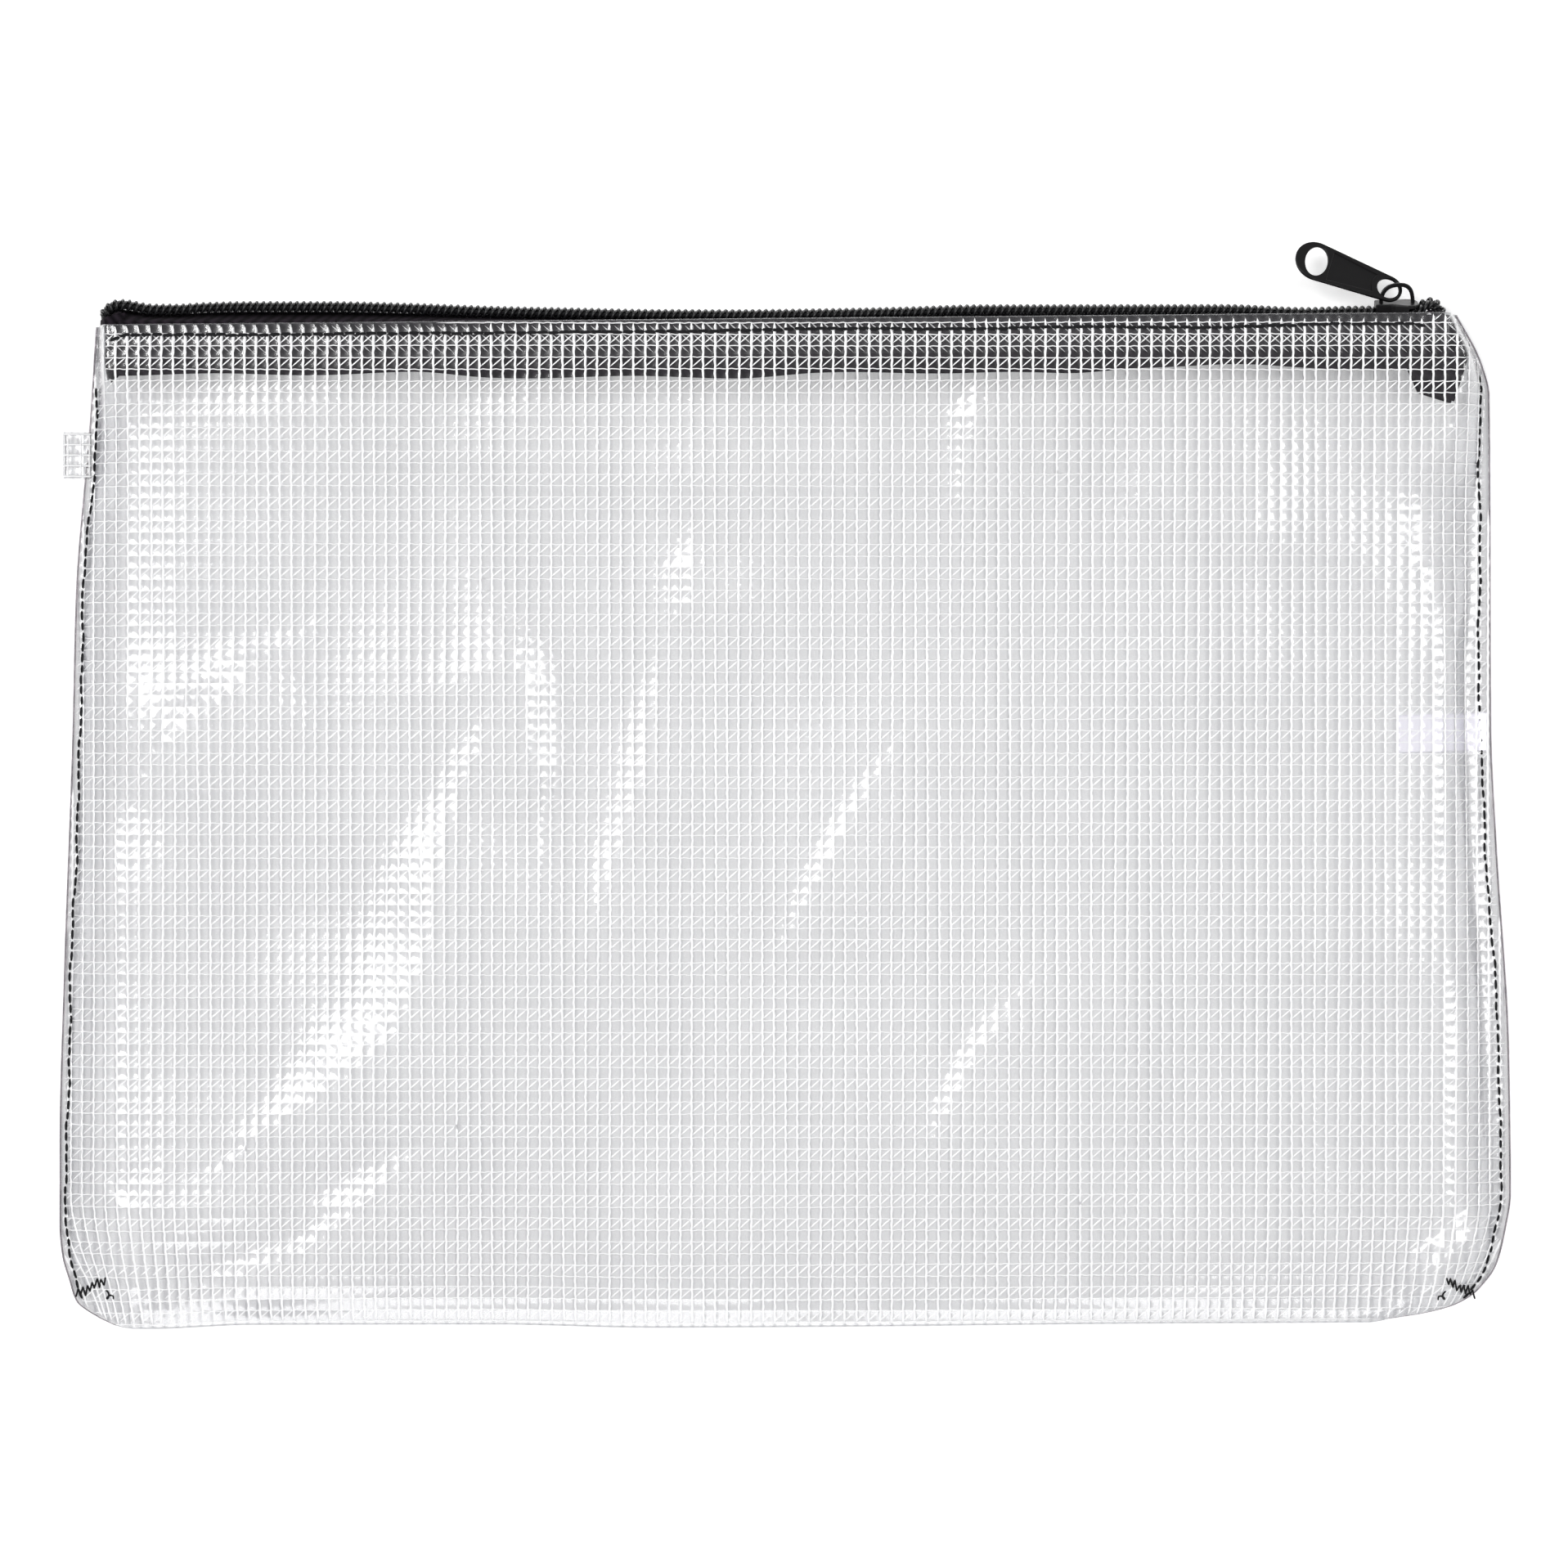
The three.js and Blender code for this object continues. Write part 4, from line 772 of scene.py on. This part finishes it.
# ---------------------------------------------------------------------------
# The coils: nylon monofilament 0.7 mm thick, wound flat round a filler cord at
# 1.57 mm a turn. The heads of the two halves lock between each other.
# ---------------------------------------------------------------------------

COIL_PITCH = 1.57
COIL_WIDTH = 3.1
COIL_DEPTH = 2.46
COIL_OVERLAP = 0.3
WIRE_RADIUS = 0.34
TURN_STEPS = 20


def coil_half(side, shift):
    """A helix with its heads pressed flat, as a tube of eight sides."""
    start = CHAIN_LEFT - ARC_LENGTHS[0]
    turns = int((CHAIN_RIGHT + ARC_LENGTHS[1] - start) / COIL_PITCH)
    steps = np.arange(turns * TURN_STEPS + 1) / TURN_STEPS
    angle = 2 * math.pi * (steps % 1) - math.pi
    advance = np.interp(angle, np.array([-4, -3, -1, 1, 3, 4]) * math.pi / 4, [0, 0, 0.25, 0.75, 1, 1])
    s = start + (np.floor(steps) + advance + shift) * COIL_PITCH
    low, high = WIRE_RADIUS - COIL_OVERLAP, COIL_WIDTH - COIL_OVERLAP - WIRE_RADIUS
    leg = COIL_DEPTH / 2 - WIRE_RADIUS
    square = 0.6
    wide = np.sign(np.cos(angle)) * np.abs(np.cos(angle)) ** square
    deep = np.sign(np.sin(angle)) * np.abs(np.sin(angle)) ** square
    h = (low + high) / 2 + (high - low) / 2 * wide + parting(s)
    centre = on_chain(s, side * ((low + high) / 2 + parting(s)), 0)
    line = on_chain(s, side * h, leg * deep)
    out = line - centre
    return tube(line, out, WIRE_RADIUS, WIRE_RADIUS, sides=8)


# Black nylon, drawn as a filament and heat set: smooth and satin, with a small bright glint on each turn
nylon, tree, surface = new_material("nylon_monofilament")
spot = add(tree, "ShaderNodeTexCoord")
draw_marks = add(tree, "ShaderNodeTexNoise", feeds={"Vector": spot.outputs["Object"], "Scale": 900.0, "Detail": 2.0})
polish = add(tree, "ShaderNodeMapRange", feeds={"Value": draw_marks.outputs["Fac"], "To Min": 0.22, "To Max": 0.4})
strand = add(tree, "ShaderNodeBsdfPrincipled",
             feeds={"Base Color": paint("#121214"), "Roughness": polish.outputs[0], "IOR": 1.53})
tree.links.new(strand.outputs[0], surface)

for side, name, shift in ((1, "front", 0.0), (-1, "back", 0.5)):
    points, faces = coil_half(side, shift)
    make_piece(f"{name}_coil_wire", points, faces, nylon, nodes=[f"{name}_coil"])

# Filler cord of spun polyester, which the coil is wound round
thread, tree, surface = new_material("polyester_thread")
spot = add(tree, "ShaderNodeTexCoord")
plies = add(tree, "ShaderNodeTexNoise", feeds={"Vector": spot.outputs["Object"], "Scale": 2500.0, "Detail": 2.0})
spun = add(tree, "ShaderNodeBump", feeds={"Strength": 0.6, "Distance": 0.00008, "Height": plies.outputs["Fac"]})
dye = add(tree, "ShaderNodeMix", {"data_type": "RGBA"}, {0: plies.outputs["Fac"]})
dye.inputs[6].default_value = paint("#0E0E10")
dye.inputs[7].default_value = paint("#232326")
thread_shader = add(tree, "ShaderNodeBsdfPrincipled",
                    feeds={"Base Color": dye.outputs[2], "Roughness": 0.8, "Specular IOR Level": 0.2,
                           "Normal": spun.outputs[0]})
tree.links.new(thread_shader.outputs[0], surface)

CORD_HALF = (0.7, 0.45)
for side, name in ((1, "front"), (-1, "back")):
    s = np.arange(CHAIN_LEFT - ARC_LENGTHS[0], CHAIN_RIGHT + ARC_LENGTHS[1], 0.8)
    line = on_chain(s, side * (COIL_WIDTH / 2 - COIL_OVERLAP + parting(s)), 0)
    points, faces = tube(line, chain_frame(s)[3], CORD_HALF[0], CORD_HALF[1], sides=10)
    make_piece(f"{name}_filler_cord", points, faces, thread, nodes=[f"{name}_coil_cord"])


# ---------------------------------------------------------------------------
# The seams: black polyester thread in a lockstitch, 2.5 mm a stitch. The thread
# dips into the film at each needle hole, and lies over it between them.
# ---------------------------------------------------------------------------

STITCH = 2.5


def stitches(line, level, length, half, plump, rise, uneven=0.0):
    """Separate stitches along a line of points in x and y, on a surface given by level."""
    line = np.asarray(line, float)
    spans = np.concatenate([[0], np.cumsum(np.linalg.norm(np.diff(line, axis=0), axis=1))])
    parts = []
    for k in range(int(spans[-1] / STITCH)):
        sway = 0.09 * math.sin(k * 2.1) + 0.05 * math.sin(k * 0.9) + 0.1 * math.sin(k * 0.23)
        long_by = length * (1 - uneven * (0.5 + 0.5 * math.sin(k * 2.7 + math.sin(k * 0.61))))
        begin = k * STITCH + (STITCH - long_by) / 2 + 0.08 * math.sin(k * 1.7)
        t = np.linspace(0, 1, 9)
        d = begin + t * long_by
        x, y = np.interp(d, spans, line[:, 0]), np.interp(d, spans, line[:, 1])
        way = np.array([x[-1] - x[0], y[-1] - y[0]])
        way /= np.linalg.norm(way)
        x, y = x - way[1] * sway, y + way[0] * sway
        arc = np.sin(math.pi * t)
        z = level(x, y) + rise * (arc * 1.3 - 0.3)
        parts.append(tube(np.stack([x, y, z], -1), ABOVE, half + plump * arc, (half + plump * arc) * 0.7, sides=8))
    return gathered(parts)


TOP_STITCH_IN = 2.8
along = np.linspace(CHAIN_LEFT - 2.0, CHAIN_RIGHT + 1.0, 80)
drop = 1.2 * (1 - ease(0, 4, along - along[0])) + 0.6 * (1 - ease(0, 3, along[-1] - along))
wander = 0.12 * np.sin(along / 9.0) + 0.1 * np.sin(along / 23.0 + 1)
seam = np.stack([along, mouth_y(along) - TOP_STITCH_IN - drop + wander], -1)
points, faces = stitches(seam, lambda x, y: front_level(x, y) + 0.3, 2.5, 0.33, 0.04, 0.1)
make_piece("front_lockstitch", points, faces, thread, nodes=["front_top_stitch"])

along = np.linspace(CHAIN_LEFT + 4, CHAIN_RIGHT - 4, 60)
seam = np.stack([along, mouth_y(along) - 2 * TOP_STITCH_IN], -1)
points, faces = stitches(seam, lambda x, y: np.full(len(x), 1.9), 2.35, 0.14, 0.06, 0.15)
make_piece("back_lockstitch", points, faces, thread, nodes=["back_top_stitch"])

SEAM_IN = {"left": 0.75, "right": 1.1}
SEAM_UNEVEN = {"left": 0.18, "right": 0.35}
# The label is caught in the right seam, and hides the thread, which runs under it there
LABEL_AT = 0.59
LABEL_WIDTH = 8.8
UNDER_LABEL = 0.5
label_y = FOLD_Y + LABEL_AT * BAG_DEPTH


def thread_level(x, y):
    """The height of the side seams' thread: on the film, and under the label where that lies."""
    under = (x > 0) & (np.abs(y - label_y) < LABEL_WIDTH / 2 + 0.4)
    return np.where(under, UNDER_LABEL, front_level(x, y) + 0.34)


for side, name, edge in ((-1, "left", left_edge), (1, "right", right_edge)):
    ups = np.linspace(0.026, 0.95, 200)
    x = edge(ups) - side * (fair(EDGE_STRIP, ups) * SEAM_IN[name] + 0.15 + 0.18 * np.sin(ups * 31) + 0.12 * np.sin(ups * 83 + 1))
    seam = np.stack([x, FOLD_Y + ups * (mouth_y(x) - FOLD_Y)], -1)
    points, faces = stitches(seam, thread_level, 2.45, 0.2, 0.12, 0.25, uneven=SEAM_UNEVEN[name])
    make_piece(f"{name}_seam_thread", points, faces, thread, nodes=[f"{name}_side_stitch"])

# Zigzag tack across each boxed corner, sewn close and by eye, so that no two of its passes lie alike
TACK_AT = 0.031
TACK_LENGTH = 7.4
TACK_PASSES = 13
for side, name, edge in ((-1, "left", left_edge), (1, "right", right_edge)):
    k = np.arange(0, TACK_PASSES + 1)
    wobble = 0.45 * np.sin(k * 2.3 + side) + 0.3 * np.sin(k * 5.1)
    reach = 0.4 + (TACK_LENGTH + 0.35 * wobble) * k / TACK_PASSES
    x = float(edge(TACK_AT)) - side * reach
    y = FOLD_Y + TACK_AT * BAG_DEPTH + 3.6 * k / TACK_PASSES + np.where(k % 2, 0.95, -0.95) * (1 + 0.7 * wobble)
    fine = np.linspace(0, TACK_PASSES, TACK_PASSES * 10 + 1)
    x, y = np.interp(fine, k, x), np.interp(fine, k, y)
    z = front_level(x, y) + 0.35 + 0.14 * np.cos(2 * math.pi * fine)
    parts = [tube(np.stack([x, y, z], -1), ABOVE, 0.21, 0.14, sides=8)]
    # The loose end of the thread, cut short inside the corner
    t = np.linspace(0, 1, 24)
    x = float(edge(TACK_AT)) - side * (7.6 + 1.5 * t + 0.5 * np.sin(9 * t))
    y = FOLD_Y + TACK_AT * BAG_DEPTH + 0.4 - 1.5 * t + 0.7 * np.cos(8 * t)
    parts.append(tube(np.stack([x, y, front_level(x, y) + 0.3 + 0.1 * np.sin(12 * t)], -1), ABOVE, 0.22, 0.15, sides=8))
    points, faces = gathered(parts)
    make_piece(f"{name}_tack_thread", points, faces, thread, nodes=[f"{name}_corner_tack"])


# ---------------------------------------------------------------------------
# The side loop: a short strip cut from the same vinyl and net, folded in two and
# caught in the left seam, for a wrist strap.
# ---------------------------------------------------------------------------

LOOP_AT = 0.866
LOOP_Y = FOLD_Y + LOOP_AT * BAG_DEPTH
LOOP_LENGTH = 11.0
LOOP_REACH = 5.4
loop_x = float(left_edge(LOOP_AT))
bend = 1.15
turns = np.linspace(math.pi / 2, 3 * math.pi / 2, 13)
upper = [(loop_x + 1.3 - t, 1.0 + (2 * bend - 0.9) * ease(0, 1, t / 4.5)) for t in np.linspace(0, 4.5, 8)]
round_bend = [(loop_x - LOOP_REACH + bend + bend * math.cos(a), 0.1 + bend + bend * math.sin(a)) for a in turns]
lower = [(loop_x - LOOP_REACH + bend + t, 0.1) for t in np.linspace(0.4, LOOP_REACH - bend + 1.2, 7)]
profile = np.array(upper[:-1] + round_bend + lower)
widths = np.linspace(-LOOP_LENGTH / 2, LOOP_LENGTH / 2, 9)
strip = np.array([[(x, LOOP_Y + w, z) for w in widths] for x, z in profile])
make_piece("wrist_loop", strip.reshape(-1, 3), lattice(len(profile), len(widths)), vinyl,
           nodes=["side_loop"])
parts = []
for w in np.arange(-LOOP_LENGTH / 2 + 0.6, LOOP_LENGTH / 2, YARN_PITCH * 0.9):
    line = np.array([(x, LOOP_Y + w, z) for x, z in profile])
    parts.append(tube(line, np.array([0, 1.0, 0.01]), 0.08, 0.25))
for k in range(1, len(profile) - 1, 3):
    x, z = profile[k]
    line = np.array([(x, LOOP_Y + w, z) for w in widths])
    parts.append(tube(line, ABOVE, 0.2, 0.08))
points, faces = gathered(parts)
make_piece("wrist_loop_net", points, faces, yarn)


# ---------------------------------------------------------------------------
# The label: a blank tab of white satin ribbon, cut hot and sewn into the right
# seam, lying between the panels.
# ---------------------------------------------------------------------------

label_left, label_right = 143.7, 164.6
u, v = np.meshgrid(np.linspace(0, 1, 34), np.linspace(0, 1, 18), indexing="ij")
x = label_left + (label_right - label_left) * u
y = label_y + (v - 0.5) * LABEL_WIDTH + 0.55 * (u - 0.5)
z = 0.85 + 0.5 * ease(0, 0.5, 1 - u) * np.sin(math.pi * v * 0.8 + 0.4)
points, faces = slab(np.stack([x, y, z], -1), 0.06)

# Woven polyester satin: white with long floats along its length, which give a soft pearly sheen. It is given a
# little light of its own: painted light that makes it brighter than its lamps light it
satin, tree, surface = new_material("white_satin_ribbon")
spot = add(tree, "ShaderNodeTexCoord")
stretched = add(tree, "ShaderNodeMapping", feeds={"Vector": spot.outputs["Object"], "Scale": (0.25, 3.0, 1.0)})
floats = add(tree, "ShaderNodeTexNoise", feeds={"Vector": stretched.outputs[0], "Scale": 1500.0, "Detail": 2.0})
grain = add(tree, "ShaderNodeBump", feeds={"Strength": 0.4, "Distance": 0.00003, "Height": floats.outputs["Fac"]})
pearl = add(tree, "ShaderNodeMix", {"data_type": "RGBA"}, {0: floats.outputs["Fac"]})
pearl.inputs[6].default_value = paint("#F6F5FB")
pearl.inputs[7].default_value = paint("#FFFEFF")
# Its emission is painted light: the ribbon glows a little though it is no lamp
ribbon_with_painted_glow = add(tree, "ShaderNodeBsdfPrincipled",
             feeds={"Base Color": pearl.outputs[2], "Roughness": 0.42, "Sheen Weight": 0.3,
                    "Emission Color": paint("#F1EDFF"), "Emission Strength": 0.3, "Normal": grain.outputs[0]})
tree.links.new(ribbon_with_painted_glow.outputs[0], surface)
make_piece("satin_label", points, faces, satin, nodes=["label"])


# ---------------------------------------------------------------------------
# The slider: die-cast zinc, tumbled smooth and stoved with black enamel. It is
# the CAD's own solid with the enamel's finish.
# ---------------------------------------------------------------------------

enamel, tree, surface = new_material("black_stoved_enamel")
spot = add(tree, "ShaderNodeTexCoord")
flow = add(tree, "ShaderNodeTexNoise", feeds={"Vector": spot.outputs["Object"], "Scale": 350.0, "Detail": 3.0})
face = add(tree, "ShaderNodeNewGeometry")
orange_peel = add(tree, "ShaderNodeBump",
                  feeds={"Strength": 0.25, "Distance": 0.00005, "Height": flow.outputs["Fac"],
                         "Normal": face.outputs["True Normal"]})
worn = add(tree, "ShaderNodeMapRange", feeds={"Value": flow.outputs["Fac"], "To Min": 0.28, "To Max": 0.45})
coat = add(tree, "ShaderNodeBsdfPrincipled",
           feeds={"Base Color": paint("#0B0A0C"), "Roughness": worn.outputs[0], "Specular IOR Level": 0.3,
                  "Normal": orange_peel.outputs[0]})
tree.links.new(coat.outputs[0], surface)
frame["nodes"]["slider_body"].data.materials.clear()
frame["nodes"]["slider_body"].data.materials.append(enamel)


# ---------------------------------------------------------------------------
# The pull tab: a flat die-cast plate with a rounded rim, a hole for the slider's
# arch, a large oval eye, and a sunk web between them that ends in an arc.
# ---------------------------------------------------------------------------

TAB_CENTRES = 18.0
TAB_WIDE = 10.2
TAB_NARROW = 6.9
TAB_THICK = 0.9
TAB_RIM = 0.85
TAB_RECESS = 0.26
TAB_BEVEL = 0.22
EYE_LENGTH = 5.4
EYE_WIDTH = 8.2
RING_HOLE = 5.3
TAB_LIFT = math.radians(21)
TAB_TWIST = math.radians(49)
RING_AT = RING_HOLE / 2 + (TAB_NARROW - RING_HOLE) / 4


def ring_of(centre, half_long, half_wide, start=0.0, end=2 * math.pi, steps=64):
    """Points of an oval, or of a part of one."""
    turn = np.linspace(start, end, steps, endpoint=end - start < 6)
    return np.stack([centre + half_long * np.cos(turn), half_wide * np.sin(turn)], -1)


def pressed_plate(name, outlines, half, bevel):
    """A flat plate of half a thickness to each side, with rounded rims round its outline and holes."""
    curve = bpy.data.curves.new(name, "CURVE")
    curve.dimensions = "2D"
    curve.fill_mode = "BOTH"
    curve.extrude = half - bevel
    curve.bevel_depth = bevel
    curve.bevel_resolution = 3
    curve.offset = -bevel
    for outline in outlines:
        spline = curve.splines.new("POLY")
        spline.points.add(len(outline) - 1)
        spline.points.foreach_set("co", np.column_stack([outline, np.zeros(len(outline)), np.ones(len(outline))]).ravel())
        spline.use_cyclic_u = True
    drawn_flat = bpy.data.objects.new(name, curve)
    scene.collection.objects.link(drawn_flat)
    bpy.context.view_layer.update()
    mesh = bpy.data.meshes.new_from_object(drawn_flat.evaluated_get(bpy.context.evaluated_depsgraph_get()))
    bpy.data.objects.remove(drawn_flat)
    points = np.empty(len(mesh.vertices) * 3)
    mesh.vertices.foreach_get("co", points)
    faces = [tuple(face.vertices) for face in mesh.polygons]
    bpy.data.meshes.remove(mesh)
    return points.reshape(-1, 3), faces


far = RING_AT + TAB_CENTRES
lean = math.asin((TAB_WIDE - TAB_NARROW) / 2 / TAB_CENTRES)
outline = np.concatenate([
    ring_of(RING_AT, TAB_NARROW / 2, TAB_NARROW / 2, math.pi / 2 + lean, 3 * math.pi / 2 - lean, 32),
    ring_of(far, TAB_WIDE / 2, TAB_WIDE / 2, -math.pi / 2 - lean, math.pi / 2 + lean, 40)])
holes = [ring_of(RING_AT, RING_HOLE / 2, RING_HOLE / 2), ring_of(far, EYE_LENGTH / 2, EYE_WIDTH / 2)]
arc = ring_of(RING_AT, RING_HOLE / 2 + 1.5, RING_HOLE / 2 + 1.5, -0.62, 0.62, 16)
slope = (TAB_WIDE - TAB_NARROW) / 2 / TAB_CENTRES
web_end = far - EYE_LENGTH / 2 - 0.75
web_half = TAB_NARROW / 2 - TAB_RIM + slope * (web_end - RING_AT)
web = np.concatenate([arc, [[web_end, web_half], [web_end, -web_half]]])
plates = [pressed_plate("tab_rim", [outline, *holes, web], TAB_THICK / 2, TAB_BEVEL),
          pressed_plate("tab_web", [outline * [0.99, 0.95] + [0.1, 0], *[hole * [1, 1.0] for hole in holes]],
                        TAB_THICK / 2 - TAB_RECESS, 0.05)]
points, faces, count = [], [], 0
for plate_points, plate_faces in plates:
    points.append(plate_points)
    faces += [tuple(v + count for v in face) for face in plate_faces]
    count += len(plate_points)
points = np.concatenate(points)

away = np.array([0, math.cos(CHAIN_ROLL), math.sin(CHAIN_ROLL)])
aside = np.array([0, -math.sin(CHAIN_ROLL), math.cos(CHAIN_ROLL)])
along = np.array([-math.cos(TAB_LIFT), 0, 0]) + math.sin(TAB_LIFT) * away
plain = np.array([math.sin(TAB_LIFT), 0, 0]) + math.cos(TAB_LIFT) * away
facing = math.cos(TAB_TWIST) * plain + math.sin(TAB_TWIST) * aside
hung = points @ np.array([along, np.cross(facing, along), facing])
pivot = np.array(frame["record"]["behaviour"]["joints"][1]["pos_m"])
mesh = bpy.data.meshes.new("enamelled_pull_tab")
mesh.from_pydata((hung / 1000 + pivot).tolist(), [], faces)
mesh.materials.append(enamel)
mesh.shade_smooth()
tab = bpy.data.objects.new("enamelled_pull_tab", mesh)
scene.collection.objects.link(tab)
sharp = tab.modifiers.new("crisp_edges", "EDGE_SPLIT")
sharp.split_angle = math.radians(35)
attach(tab, "pull")
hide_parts("pull_tab")


def corners(bounds):
    return [[float(v) for v in corner] for corner in bounds]
